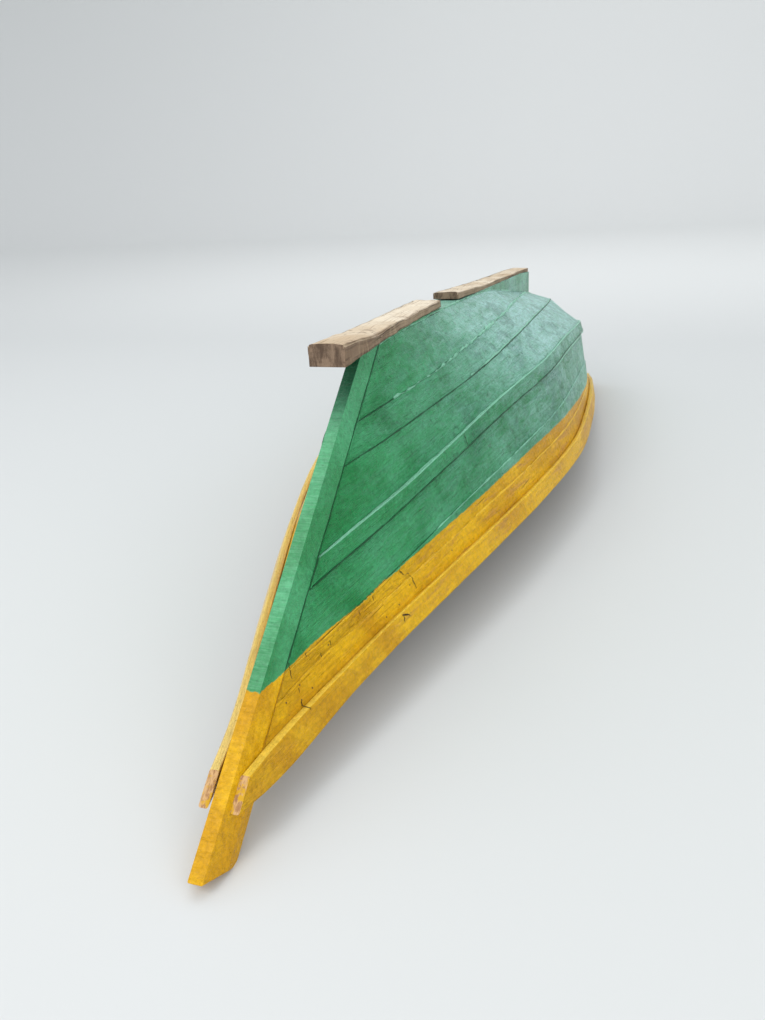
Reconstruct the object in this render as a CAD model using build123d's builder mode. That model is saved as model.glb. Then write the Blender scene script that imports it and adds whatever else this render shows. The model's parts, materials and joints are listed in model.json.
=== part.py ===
"""Planked wooden boat with a V bottom, stored keel up. Millimetres, +Z up, bow towards -Y.

A place is given as (half breadth, height): the half breadth from the centre line, and the
height above the floor that the upturned boat rests on. "aft" is a distance along the boat,
measured from close to the tip of the bow.
"""
from build123d import *
from collections import namedtuple
from functools import lru_cache
from math import cos, hypot, radians, sin, tan
import os

os.makedirs("parts", exist_ok=True)

# Whole boat
PLANK = 22               # thickness of the planking
SEAM = 0.6               # open seam between two strakes
FIT = 0.3                # clearance where one timber seats on another
WALE_PROUD = 12          # the narrow strake stands proud of its neighbours
SIXTH_PROUD = 5          # each of the two lower side strakes laps over the one above
SHEER_PROUD = 10
STEM_DRESSED = 0.2       # share of its pride that a strake keeps where it is dressed down at the stem

# Stem, a straight raked timber
STEM_RAKE = 35.9         # degrees above the floor
STEM_RISE = 44           # height of the front face's line where aft is nought
STEM_FACE_HALF = 21      # half width of the front face
RABBET_HALF = 45         # half width where the planks land
RABBET_DEPTH = 65        # front face to the rabbet
STEM_DEPTH = 105         # front face to back face at the head
HEAD_FALL = 19           # the head is sawn off at this angle to the floor
HEAD_ROUND = 40          # rounding of the head's back corner, which stands on the floor
APRON_HALF = 20
APRON_DEPTH = 52
APRON_TOP = 930
APRON_FOOT = 150

# Keel, skeg and the two lengths of shoe that lie on the keel
KEEL_HALF = 70
KEEL_PROUD = 8           # keel above the garboards' upper edges
KEEL_DEPTH = 60          # keel below the garboards' upper edges
KEEL_FLARE = 0.04        # widening of the keel aft of the stem
HULL_RISE_AFT = 3379     # aft of here the hull leaves the keel and the skeg fills the space
HULL_RISE = 0.163
SKEG_START = 3420
SKEG_TOE = 8             # blunt fore end of the skeg
SKEG_KEEL = 45           # depth of the keel over the skeg at the stern
SHOE_HALF = 67
Thick = namedtuple("Thick", "aft thick")
FORE_SHOE = [Thick(1103, 76), Thick(1300, 60), Thick(1500, 46), Thick(1700, 39), Thick(2300, 35)]
AFT_SHOE = [Thick(2640, 34), Thick(3400, 32), Thick(4000, 23), Thick(4500, 22), Thick(4878, 30)]

# Transom
TRANSOM_AFT = 4920       # at the floor; places along the boat stretch with it
TABLE_LENGTH = 4920      # the length that the places below are given for
TRANSOM_RAKE = 4         # degrees
TRANSOM_THICK = 32
TRANSOM_FOOT = 42        # its edge above the floor
POST_HALF = 35
POST_DEPTH = 48

# Inside
FRAMES_AFT = (1730, 2200, 2800, 3400, 4000, 4600)
FRAME_THICK = 34
FRAME_DEPTH = 48
FRAME_HEAD = 0.92        # how far down the sheer strakes the frames reach
FLOOR_DEPTH = 62
INWALE_DEPTH = 50
INWALE_THICK = 28
INWALE_RISE = 18         # above the sheer edge
RISER_START = 1350
RISER_RISE = 150         # above the sheer edge
RISER_DEPTH = 60
RISER_THICK = 24
STRINGER_GAP = 60        # inwales and risers stop short of the transom
THWARTS_AFT = (1900, 2500, 3100, 3700, 4300)
THWART_THICK = 34
THWART_WIDTH = 210
THWART_END_GAP = 6
HOOK_FORE = 440
HOOK_AFT = 1000
HOOK_RISE = 10           # above the sheer edge
HOOK_THICK = 36
HOOK_GAP = 1
KNEE_ARM = 190
KNEE_TOE = 18
KNEE_THICK = 34
KNEE_RISE = 8            # above the inwale's lower edge

# Rubbing rails
RAIL_DEPTH = 75
RAIL_THICK = 28
RAIL_SPRUNG = 8          # the port rail has sprung off the stem by this much
RAIL_END_DEPTH = 18      # the fore ends are cut parallel to the stem, this far behind its front face
RAIL_END_FOOT = 127
RAIL_END_HEAD = 184

# Table of offsets: height of the keel, half breadth and height of the chine and of the sheer.
# The second strake's lower seam lies at a share of the way from keel to chine, and stands out
# from the straight line between them by the crown; the garboard's lower seam lies at a share of
# the way from the keel to it. The fifth and sixth strakes' lower seams lie at a share of the
# way from the narrow strake to the sheer.
Station = namedtuple("Station", "aft keel chine_b chine_h sheer_b sheer_h garboard second crown fifth sixth")
OFFSETS = [
    Station(700, 1041, 22, 515, 168, 158, 0.64, 0.565, 0, 0.46, 0.576),
    Station(900, 1041, 62, 531, 226, 175, 0.647, 0.587, 0, 0.455, 0.589),
    Station(1100, 1041, 112, 548, 284, 187, 0.653, 0.60, 0, 0.44, 0.591),
    Station(1500, 1044, 219, 605, 397, 209, 0.668, 0.648, 0, 0.42, 0.609),
    Station(2100, 1031, 359, 678, 543, 226, 0.636, 0.685, 0, 0.425, 0.64),
    Station(2700, 999, 465, 700, 634, 223, 0.595, 0.64, 0, 0.42, 0.66),
    Station(3300, 950, 494, 685, 638, 203, 0.523, 0.608, 6, 0.43, 0.70),
    Station(3900, 914, 500, 631, 607, 160, 0.358, 0.543, 16, 0.45, 0.75),
    Station(4450, 880, 476, 559, 556, 86, 0.17, 0.47, 30, 0.51, 0.80),
    Station(4880, 840, 412, 484, 503, 3.6, 0.08, 0.41, 42, 0.60, 0.84),
]
RING_STEP = 200          # the planking is sprung in straight runs of this length
RING_MARGIN = 50         # a strake's first ring stands at least this far aft of its landing
WALE_SPREAD = 0.30       # the narrow strake flares outward by this share of its depth
WALE_MID = 66            # its depth amidships
WALE_END = 52            # its depth at the ends
LANDINGS = (1034, 831, 727, 534, 470, 315, 262, 120)   # heights of the seams on the stem
STRAKES = ("garboard", "second_strake", "third_strake", "wale_strake", "fifth_strake",
           "sixth_strake", "sheer_strake")
STRAKE_PROUD = (0, 0, 0, WALE_PROUD, 0, SIXTH_PROUD, SHEER_PROUD)
BOTTOM, CHINE, WALE_FOOT, SHEER = 2, 3, 4, 7      # the seams that have names
WALE = CHINE                                      # the narrow strake starts at the chine
WALE_BUTT = FRAMES_AFT[0]              # its two lengths meet here
LAST_STRAKE = (SHEER - 1, SHEER)

# A cut is the upright or leaning plane that a section is drawn on
Cut = namedtuple("Cut", "aft lean")
UPRIGHT = 90


def along(aft):
    """A place along the boat, stretched from the table's length to this boat's."""
    return aft * TRANSOM_AFT / TABLE_LENGTH


STATIONS = [row._replace(aft=along(row.aft)) for row in OFFSETS]
rake = radians(STEM_RAKE)


def stem_line(depth):
    """Line along the stem at a depth behind its front face."""
    return Cut((depth / cos(rake) - STEM_RISE) / tan(rake), STEM_RAKE)


# The head stands on the floor with its rounded back corner; its sawn end rises from there
fall = radians(HEAD_FALL)
HEAD_TOUCH = stem_line(STEM_DEPTH).aft - HEAD_ROUND * tan(rake / 2)
HEAD_END_AFT = HEAD_TOUCH - HEAD_ROUND * sin(fall)
HEAD_END_HEIGHT = HEAD_ROUND * (1 - cos(fall))
STEM_TIP = (HEAD_END_HEIGHT + HEAD_END_AFT * tan(fall) - STEM_RISE) / (tan(rake) + tan(fall))
MIDDLE = (STEM_TIP + TRANSOM_AFT) / 2      # the origin lies below the middle of the boat


def world_y(aft):
    return aft - MIDDLE


def cut_plane(cut):
    lean = radians(cut.lean)
    return Plane(origin=(0, world_y(cut.aft), 0), x_dir=(1, 0, 0), z_dir=(0, -sin(lean), cos(lean)))


def aft_on(cut, height):
    return cut.aft + height / tan(radians(cut.lean))


def between(a, b, share):
    return tuple(p + (q - p) * share for p, q in zip(a, b))


STEM_CUT = stem_line(RABBET_DEPTH)
TRANSOM_CUT = Cut(TRANSOM_AFT, UPRIGHT + TRANSOM_RAKE)
TRANSOM_FACE = Cut(TRANSOM_AFT - TRANSOM_THICK / cos(radians(TRANSOM_RAKE)), TRANSOM_CUT.lean)
KEEL_LANDING = aft_on(STEM_CUT, LANDINGS[0])


def faired(aft):
    """The offsets at any place, on a smooth curve through the rows of the table."""
    n = max(i for i, row in enumerate(STATIONS[:-1]) if row.aft <= aft)
    lo, hi = STATIONS[n], STATIONS[n + 1]
    before, after = STATIONS[max(n - 1, 0)], STATIONS[min(n + 2, len(STATIONS) - 1)]
    step = hi.aft - lo.aft
    t = (aft - lo.aft) / step
    values = []
    for a, b, c, d in zip(before[1:], lo[1:], hi[1:], after[1:]):
        leave = (c - a) / (hi.aft - before.aft) * step
        arrive = (d - b) / (after.aft - lo.aft) * step
        values.append(b * (1 + 2 * t) * (1 - t) ** 2 + c * t ** 2 * (3 - 2 * t)
                      + leave * t * (1 - t) ** 2 - arrive * t ** 2 * (1 - t))
    return Station(aft, *values)


def keel_half(aft):
    return min(KEEL_HALF, RABBET_HALF + KEEL_FLARE * (aft - KEEL_LANDING))


def keel_seat(aft):
    """Height of the garboard's upper edge."""
    rise_start = faired(along(HULL_RISE_AFT)).keel - KEEL_PROUD
    return min(faired(aft).keel - KEEL_PROUD, rise_start - HULL_RISE * (aft - along(HULL_RISE_AFT)))


STERN = aft_on(TRANSOM_CUT, keel_seat(TRANSOM_AFT))
RINGS = [Cut(along(aft), UPRIGHT) for aft in range(OFFSETS[0].aft, OFFSETS[-1].aft, RING_STEP)] + [TRANSOM_CUT]
FIRST_RING = [min(n for n, ring in enumerate(RINGS) if ring.aft > aft_on(STEM_CUT, landing) + RING_MARGIN)
              for landing in LANDINGS[:-1]]


def seams(ring):
    """The eight seam points of a ring, from the keel down to the sheer."""
    if ring is TRANSOM_CUT:
        row, aft = STATIONS[-1], STERN
    else:
        row, aft = faired(ring.aft), ring.aft
    run = (row.aft - STATIONS[0].aft) / (STATIONS[-1].aft - STATIONS[0].aft)
    wale = WALE_END + (WALE_MID - WALE_END) * sin(radians(180 * run))
    keel = (keel_half(aft), keel_seat(aft))
    chine = (row.chine_b, row.chine_h)
    out = outward(keel, chine)
    b, h = between(keel, chine, row.second)
    second = (b + out[0] * row.crown, h + out[1] * row.crown)
    wale_foot = (row.chine_b + WALE_SPREAD * wale, row.chine_h - wale)
    sheer = (row.sheer_b, row.sheer_h)
    return [keel, between(keel, second, row.garboard), second, chine, wale_foot,
            between(wale_foot, sheer, row.fifth), between(wale_foot, sheer, row.sixth), sheer]


def outward(a, b):
    """Unit normal of the strake from seam a down to seam b."""
    length = hypot(b[0] - a[0], b[1] - a[1])
    return ((a[1] - b[1]) / length, (b[0] - a[0]) / length)


def crossing(seam_line, cut):
    """The point where a line of straight runs passes through a cut."""
    for p, q in zip(seam_line, seam_line[1:]):
        short, past = p[2] - aft_on(cut, p[1]), q[2] - aft_on(cut, q[1])
        if short <= 0 <= past:
            return between(p[:2], q[:2], short / (short - past))
    raise ValueError(f"no crossing at {cut}")


def mitred(ring, i, distance):
    """Seam point i of a ring, moved outward along the mitre that its two strakes share."""
    near = {j: crossing(seam_line(j, 0), ring) for j in (i - 1, i, i + 1) if 0 <= j <= len(STRAKES)}
    normals = [outward(near[j], near[j + 1]) for j in (i - 1, i) if j in near and j + 1 in near]
    mitre = (sum(n[0] for n in normals), sum(n[1] for n in normals))
    reach = distance / (mitre[0] * normals[0][0] + mitre[1] * normals[0][1])
    return (near[i][0] + mitre[0] * reach, near[i][1] + mitre[1] * reach)


@lru_cache(maxsize=None)
def seam_line(i, distance):
    """Seam i moved outward by a distance, in straight runs of (half breadth, height, aft)."""
    dressed = distance * STEM_DRESSED if distance > 0 else distance
    points = [(RABBET_HALF + dressed, LANDINGS[i], aft_on(STEM_CUT, LANDINGS[i]))]
    for ring in RINGS[FIRST_RING[max(i - 1, 0)]:]:
        b, h = mitred(ring, i, distance) if distance else seams(ring)[i]
        points.append((b, h, aft_on(ring, h)))
    return points


def strake_section(cut, k):
    """Corners of strake k where it passes a cut, less half the open seam at each edge."""
    top, foot = (crossing(seam_line(i, 0), cut) for i in (k, k + 1))
    length = hypot(foot[0] - top[0], foot[1] - top[1])
    step = ((foot[0] - top[0]) / length * SEAM / 2, (foot[1] - top[1]) / length * SEAM / 2)
    corners = []
    for end, distance in ((0, STRAKE_PROUD[k]), (1, STRAKE_PROUD[k]), (1, -PLANK), (0, -PLANK)):
        b, h = crossing(seam_line(k + end, distance), cut)
        sign = 1 - 2 * end
        corners.append((b + sign * step[0], h + sign * step[1]))
    return corners


def timber(rings):
    """A timber that passes through sections, each a cut and its corners (half breadth, height)."""
    with BuildPart() as solid:
        for cut, corners in rings:
            rise = sin(radians(cut.lean))
            with BuildSketch(cut_plane(cut)):
                with BuildLine():
                    Polyline(*[(b, h / rise) for b, h in corners], close=True)
                make_face()
        loft(ruled=True)
    return solid.part


def both_sides(corners):
    """A starboard outline closed over to port."""
    return corners + [(-b, h) for b, h in reversed(corners)]


def cuts_between(start, end):
    """Upright cuts at the start, at each ring and at the end of a timber."""
    inner = [ring for ring in RINGS[:-1] if start < ring.aft < end]
    return [Cut(start, UPRIGHT)] + inner + [Cut(end, UPRIGHT)]


def save(part, name):
    part.label = name
    export_step(part, f"parts/{name}.step")


def save_pair(part, name):
    save(part, f"{name}_starboard")
    save(mirror(part, about=Plane.YZ), f"{name}_port")


# Strakes: each runs from the stem rabbet through the rings to the transom's aft face. The narrow
# strake is in two lengths that butt on a frame
def strake(cuts, k):
    return timber([(cut, strake_section(cut, k)) for cut in cuts])


for k, strake_name in enumerate(STRAKES):
    cuts = [STEM_CUT] + RINGS[FIRST_RING[k]:]
    if k == WALE:
        fore_end, aft_end = (Cut(along(WALE_BUTT) + side * SEAM / 2, UPRIGHT) for side in (-1, 1))
        save_pair(strake([cut for cut in cuts if cut.aft < fore_end.aft] + [fore_end], k), f"{strake_name}_fore")
        save_pair(strake([aft_end] + [cut for cut in cuts if cut.aft > aft_end.aft], k), f"{strake_name}_aft")
    else:
        save_pair(strake(cuts, k), strake_name)


# Keel: rabbeted each side for the garboards; aft, a sloping cut parts it from the skeg below
def keel_section(cut, top):
    seat = crossing(seam_line(0, 0), cut)
    inner = crossing(seam_line(0, -PLANK), cut)
    return both_sides([(seat[0], top), seat, (inner[0] - FIT, inner[1]), (inner[0] - FIT, seat[1] - KEEL_DEPTH)])


stem_top = faired(aft_on(stem_line(0), LANDINGS[0])).keel - 2 * FIT
keel_sections = [(STEM_CUT, keel_section(STEM_CUT, stem_top))]
for ring in RINGS[FIRST_RING[0]:]:
    keel_sections.append((ring, keel_section(ring, faired(min(ring.aft, STERN)).keel)))
backbone = timber(keel_sections)


def below_keel(raised):
    """Everything below the sloping cut, raised by a clearance."""
    with BuildPart() as wedge:
        with BuildSketch(Plane.YZ):
            with BuildLine():
                toe = along(SKEG_START)
                start = (world_y(toe), keel_seat(toe) - KEEL_DEPTH + SKEG_TOE + raised)
                end = (world_y(TRANSOM_AFT), faired(STERN).keel - SKEG_KEEL + raised)
                Polyline(start, end, (end[0], 0), (start[0], 0), close=True)
            make_face()
        extrude(amount=2 * KEEL_HALF, both=True)
    return wedge.part


with BuildPart() as keel:
    add(backbone)
    add(below_keel(FIT), mode=Mode.SUBTRACT)
save(keel.part, "keel")
with BuildPart() as skeg:
    add(backbone)
    add(below_keel(0), mode=Mode.INTERSECT)
save(skeg.part, "skeg")


# Shoe: two lengths of squared timber along the keel, with a gap between
def shoe(table):
    profile = [place._replace(aft=along(place.aft)) for place in table]
    start, end = profile[0].aft, profile[-1].aft
    places = [cut.aft for cut in cuts_between(start, end)]
    foot = [(world_y(a), faired(a).keel + FIT) for a in places]
    top = [(world_y(place.aft), faired(place.aft).keel + place.thick) for place in profile]
    with BuildPart() as solid:
        with BuildSketch(Plane.YZ):
            with BuildLine():
                Polyline(*foot, *reversed(top), close=True)
            make_face()
        extrude(amount=SHOE_HALF, both=True)
    return solid.part


save(shoe(FORE_SHOE), "fore_shoe")
save(shoe(AFT_SHOE), "aft_shoe")

# Stem: bevelled in front, full depth only at the head below the planking
stem_plane = Plane(origin=(0, world_y(stem_line(0).aft), 0), x_dir=(1, 0, 0),
                   z_dir=(0, cos(rake), sin(rake)))
head_length = (LANDINGS[-1] + RABBET_DEPTH * cos(rake)) / sin(rake)
head_end = Plane(origin=(0, world_y(HEAD_END_AFT), HEAD_END_HEIGHT), x_dir=(1, 0, 0),
                 z_dir=(0, sin(fall), cos(fall)))
back = RABBET_DEPTH - FIT
with BuildPart() as stem:
    with BuildSketch(stem_plane):
        with BuildLine():
            Polyline((-STEM_FACE_HALF, 0), (STEM_FACE_HALF, 0), (RABBET_HALF, back), (-RABBET_HALF, back),
                     close=True)
        make_face()
    extrude(amount=LANDINGS[0] / sin(rake) + STEM_DEPTH)
    with BuildSketch(stem_plane):
        with BuildLine():
            Polyline((-RABBET_HALF, back), (RABBET_HALF, back), (RABBET_HALF, STEM_DEPTH),
                     (-RABBET_HALF, STEM_DEPTH), close=True)
        make_face()
    extrude(amount=head_length)
    split(bisect_by=head_end, keep=Keep.TOP)
    head_edges = stem.edges().filter_by(Axis.X).sort_by(Axis.Z)
    fillet(head_edges[0], HEAD_ROUND)
    split(bisect_by=Plane.XY.offset(stem_top), keep=Keep.BOTTOM)
save(stem.part, "stem")

# Apron: the inner stem between the planks, behind the rabbet
with BuildPart() as apron:
    with BuildSketch(Plane.YZ):
        with BuildLine():
            foot_y = world_y(aft_on(STEM_CUT, APRON_FOOT) + FIT)
            top_y = world_y(aft_on(STEM_CUT, APRON_TOP) + FIT)
            through = APRON_DEPTH / sin(rake)
            Polyline((foot_y, APRON_FOOT), (top_y, APRON_TOP), (top_y + through, APRON_TOP),
                     (foot_y + through, APRON_FOOT), close=True)
        make_face()
    extrude(amount=APRON_HALF, both=True)
save(apron.part, "apron")


# Inside of the planking, for the frames and the transom
def lining(cut, inset, corners):
    """Points at some of the seams, inside the planking by an inset."""
    return [crossing(seam_line(i, -(PLANK + inset)), cut) for i in corners]


def under_keel(cut):
    """Corners where a frame or the transom fits round the keel's lower part."""
    seat = crossing(seam_line(0, 0), cut)
    inner = crossing(seam_line(0, -(PLANK + FIT)), cut)
    return [(inner[0] + FIT, seat[1] - KEEL_DEPTH - FIT), (inner[0] + FIT, inner[1])]


def frame_section(cut):
    outer = lining(cut, FIT, range(1, SHEER + 1))
    inner = lining(cut, FIT + FRAME_DEPTH, range(1, SHEER + 1))
    outer[-1] = between(outer[-2], outer[-1], FRAME_HEAD)
    inner[-1] = between(inner[-2], inner[-1], FRAME_HEAD)
    crown = min(inner[0][1], crossing(seam_line(0, 0), cut)[1] - KEEL_DEPTH - FLOOR_DEPTH)
    return both_sides(under_keel(cut) + outer + list(reversed(inner[1:])) + [(inner[0][0], crown)])


for number, place in enumerate(FRAMES_AFT, start=1):
    faces = [Cut(along(place) + side * FRAME_THICK / 2, UPRIGHT) for side in (-1, 1)]
    save(timber([(face, frame_section(face)) for face in faces]), f"frame_{number}")


# Transom: one board inside the plank ends, with a post on its inner face
def transom_section(cut):
    line = lining(cut, FIT, (BOTTOM, CHINE, WALE_FOOT, SHEER))
    line[-1] = between(line[-1], line[-2], (TRANSOM_FOOT - line[-1][1]) / (line[-2][1] - line[-1][1]))
    return both_sides(under_keel(cut) + line)


save(timber([(face, transom_section(face)) for face in (TRANSOM_FACE, TRANSOM_CUT)]), "transom")
seated = Cut(TRANSOM_FACE.aft - FIT, TRANSOM_FACE.lean)
post_top = keel_seat(STERN) - KEEL_DEPTH - FIT
with BuildPart() as stern_post:
    with BuildSketch(cut_plane(seated)):
        with Locations((0, (post_top + TRANSOM_FOOT) / 2)):
            Rectangle(2 * POST_HALF, post_top - TRANSOM_FOOT)
    extrude(amount=POST_DEPTH)
save(stern_post.part, "stern_post")


# Inwales and risers run along the frames' inner faces
def side_point(cut, height, inset):
    """Point at a height on the flat side of the hull, moved in from the planking's outer face."""
    top, foot = (crossing(seam_line(i, -inset), cut) for i in LAST_STRAKE)
    return between(top, foot, (top[1] - height) / (top[1] - foot[1]))


def stringer_section(cut, foot, depth, thick):
    inset = PLANK + FRAME_DEPTH + 2 * FIT
    return [side_point(cut, foot, inset), side_point(cut, foot + depth, inset),
            side_point(cut, foot + depth, inset + thick), side_point(cut, foot, inset + thick)]


def above_sheer(cut, rise):
    return crossing(seam_line(SHEER, 0), cut)[1] + rise


riser = timber([(cut, stringer_section(cut, above_sheer(cut, RISER_RISE), RISER_DEPTH, RISER_THICK))
                for cut in cuts_between(RISER_START, TRANSOM_AFT - STRINGER_GAP)])
save_pair(riser, "riser")
inwale = timber([(cut, stringer_section(cut, above_sheer(cut, INWALE_RISE), INWALE_DEPTH, INWALE_THICK))
                 for cut in cuts_between(HOOK_AFT + FIT, TRANSOM_AFT - STRINGER_GAP)])
save_pair(inwale, "inwale")


# Boards across the hull: thwarts that bear on the risers, and the breasthook behind the stem
def board(start, end, rise, thick, gap):
    cuts = cuts_between(start, end)
    foot_start, foot_end = (above_sheer(cut, rise) for cut in (cuts[0], cuts[-1]))
    sections = []
    for cut in cuts:
        foot = foot_start + (foot_end - foot_start) * (cut.aft - start) / (end - start)
        sections.append((cut, both_sides([side_point(cut, foot + thick, PLANK + gap),
                                          side_point(cut, foot, PLANK + gap)])))
    return timber(sections)


for number, place in enumerate(THWARTS_AFT, start=1):
    thwart = board(along(place) - THWART_WIDTH / 2, along(place) + THWART_WIDTH / 2,
                   RISER_RISE - FIT - THWART_THICK, THWART_THICK, THWART_END_GAP)
    save(thwart, f"thwart_{number}")
save(board(HOOK_FORE, HOOK_AFT, HOOK_RISE, HOOK_THICK, HOOK_GAP), "breasthook")


# Rubbing rails outside the sheer strakes, each ending forward on the bevel of the stem
def rail_section(start, normal):
    up = (-normal[1], normal[0])
    return [(start[0] + normal[0] * n + up[0] * a, start[1] + normal[1] * n + up[1] * a)
            for n, a in ((FIT, 0), (FIT + RAIL_THICK, 0), (FIT + RAIL_THICK, RAIL_DEPTH), (FIT, RAIL_DEPTH))]


def rail_end_section(inner, foot, head):
    return [(inner, foot), (inner + RAIL_THICK, foot), (inner + RAIL_THICK, head), (inner, head)]


def rail(sprung):
    bevel = STEM_FACE_HALF + (RABBET_HALF - STEM_FACE_HALF) * RAIL_END_DEPTH / RABBET_DEPTH
    top, foot = (crossing(seam_line(i, SHEER_PROUD), RINGS[0]) for i in LAST_STRAKE)
    share = RAIL_DEPTH / hypot(top[0] - foot[0], top[1] - foot[1])
    head = LANDINGS[-1] + share * (LANDINGS[-2] - LANDINGS[-1])
    landed = seam_line(LAST_STRAKE[1], SHEER_PROUD)[0][0]
    sections = [(stem_line(RAIL_END_DEPTH), rail_end_section(bevel + FIT + sprung, RAIL_END_FOOT, RAIL_END_HEAD)),
                (STEM_CUT, rail_end_section(landed + FIT + sprung / 2, LANDINGS[-1], head))]
    for ring in RINGS:
        top, foot = (crossing(seam_line(i, SHEER_PROUD), ring) for i in LAST_STRAKE)
        sections.append((ring, rail_section(foot, outward(top, foot))))
    return timber(sections)


save(rail(0), "rail_starboard")
save(mirror(rail(RAIL_SPRUNG), about=Plane.YZ), "rail_port")

# Quarter knees in the corners of inwale and transom
knee_inset = PLANK + FRAME_DEPTH + INWALE_THICK + 3 * FIT
knee_sections = []
for cut, arm in ((Cut(seated.aft - KNEE_ARM, UPRIGHT), KNEE_TOE), (seated, KNEE_ARM)):
    knee_foot = above_sheer(cut, INWALE_RISE + KNEE_RISE)
    top, foot = (side_point(cut, h, knee_inset) for h in (knee_foot + KNEE_THICK, knee_foot))
    knee_sections.append((cut, [top, foot, (foot[0] - arm, foot[1]), (top[0] - arm, top[1])]))
save_pair(timber(knee_sections), "quarter_knee")
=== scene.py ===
import json
import math

import bmesh
import bpy
import numpy as np
from mathutils import Matrix, Vector
from mathutils.bvhtree import BVHTree

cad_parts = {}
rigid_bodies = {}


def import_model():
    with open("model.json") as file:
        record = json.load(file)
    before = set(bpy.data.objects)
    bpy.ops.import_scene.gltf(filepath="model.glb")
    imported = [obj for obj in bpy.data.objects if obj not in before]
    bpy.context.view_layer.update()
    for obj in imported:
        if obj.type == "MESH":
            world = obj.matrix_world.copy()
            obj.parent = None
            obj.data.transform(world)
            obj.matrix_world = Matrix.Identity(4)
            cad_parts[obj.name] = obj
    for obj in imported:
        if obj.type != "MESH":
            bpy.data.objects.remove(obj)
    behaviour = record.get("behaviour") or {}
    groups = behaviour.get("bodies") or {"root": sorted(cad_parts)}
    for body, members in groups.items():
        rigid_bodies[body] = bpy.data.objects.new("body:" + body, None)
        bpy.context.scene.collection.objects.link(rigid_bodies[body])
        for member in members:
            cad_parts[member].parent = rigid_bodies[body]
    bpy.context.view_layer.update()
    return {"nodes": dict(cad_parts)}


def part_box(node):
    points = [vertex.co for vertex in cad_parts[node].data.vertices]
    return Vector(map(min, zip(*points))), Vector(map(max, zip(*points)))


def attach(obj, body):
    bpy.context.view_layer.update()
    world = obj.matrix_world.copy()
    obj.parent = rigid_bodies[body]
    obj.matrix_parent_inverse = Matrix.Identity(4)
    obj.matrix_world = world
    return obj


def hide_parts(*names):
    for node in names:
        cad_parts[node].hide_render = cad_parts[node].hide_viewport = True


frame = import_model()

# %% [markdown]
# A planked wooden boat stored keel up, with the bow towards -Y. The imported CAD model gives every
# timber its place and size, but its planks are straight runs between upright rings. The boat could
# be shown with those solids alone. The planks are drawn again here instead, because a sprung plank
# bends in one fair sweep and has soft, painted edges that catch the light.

NODES = frame["nodes"]
LINKED = bpy.context.scene.collection.objects

# %% [markdown]
# Lengths are metres. "Aft" is measured from near the tip of the bow, and MIDDLE turns it into the
# frame's Y. A boat builder gives a hull's shape as offsets at upright rings a step apart. Forward
# the planks end on the raked stem, and aft on the leaning transom. These places are the cuts at
# which the planks' lines are read. The meshes could be sliced anywhere, but the vertices that lie
# on a cut are already there and exact.

# %% Main places
MIDDLE = 2.4553                          # the frame's origin, aft of the bow
RAKE = math.radians(35.9)                # slope of the stem
STEM_RISE = 0.044                        # height of the stem's front face where aft is 0
RABBET_DEPTH = 0.065                     # how deep in the stem the planks end
RAIL_END_DEPTH = 0.018                   # how deep in it the rails end
TRANSOM_LEAN = math.tan(math.radians(4))
TRANSOM = 4.920                          # after ends of the planks at the floor
RINGS = np.arange(0.7, 4.8, 0.2)         # upright rings
ON_CUT = 2e-4                            # a vertex this near a cut lies on it


def stem_cut(depth):
    """The line along the stem at a depth behind its front face, as its Y where the height is 0."""
    return ("stem", (depth / math.cos(RAKE) - STEM_RISE) / math.tan(RAKE) - MIDDLE)


CUTS = [stem_cut(RAIL_END_DEPTH), stem_cut(RABBET_DEPTH)]
CUTS += [("ring", float(a) - MIDDLE) for a in RINGS]
CUTS += [("transom", TRANSOM - MIDDLE)]
print("cuts", len(CUTS))


def off_cut(points, cut):
    """Distance along Y of points (x, y, z) from a cut, which leans by a share of the height."""
    kind, y = cut
    if kind == "stem":
        return points[:, 1] - y - points[:, 2] / math.tan(RAKE)
    if kind == "transom":
        return points[:, 1] - y + points[:, 2] * TRANSOM_LEAN
    return points[:, 1] - y


# %% [markdown]
# Corner lines. Each plank and rail of the real boat is a sawn board with four long corners, and it
# crosses every cut in a four sided section. A curve object or a subdivision surface would cut the
# corners of the run. A cubic through each corner's points keeps the board on its frames, and two
# planks that share a seam share the seam's points too, so no gap opens between them.

# %% Corner lines of a plank
def corners_of(names):
    """Corners of a long board at each cut it crosses: outer top, outer foot, inner foot, inner top.

    The longest direction of the section's points runs down the board's width. Each corner is the
    point that lies furthest along a sum or difference of the width and the thickness."""
    points = np.array([v.co for name in names for v in NODES[name].data.vertices])
    points = np.unique(np.round(points, 5), axis=0)
    side = 1 if points[:, 0].mean() > 0 else -1
    points[:, 0] *= side
    found, cuts = [], []
    for cut in CUTS:
        here = points[np.abs(off_cut(points, cut)) < ON_CUT]
        if len(here) < 4:
            continue
        flat = here[:, [0, 2]]
        middle = (flat.max(0) + flat.min(0)) / 2
        spread = flat - flat.mean(0)
        _, _, axes = np.linalg.svd(spread, full_matrices=False)
        fall = axes[0] if axes[0] @ (1, -1) > 0 else -axes[0]
        out = np.array((-fall[1], fall[0]))
        s, d = (flat - middle) @ fall, (flat - middle) @ out
        s, d = s / np.abs(s).max(), d / np.abs(d).max()
        picks = [np.argmax(a * s + b * d) for a, b in ((-1, 1), (1, 1), (1, -1), (-1, -1))]
        found.append(here[picks])
        cuts.append(cut)
    return np.array(found), cuts, side


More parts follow.
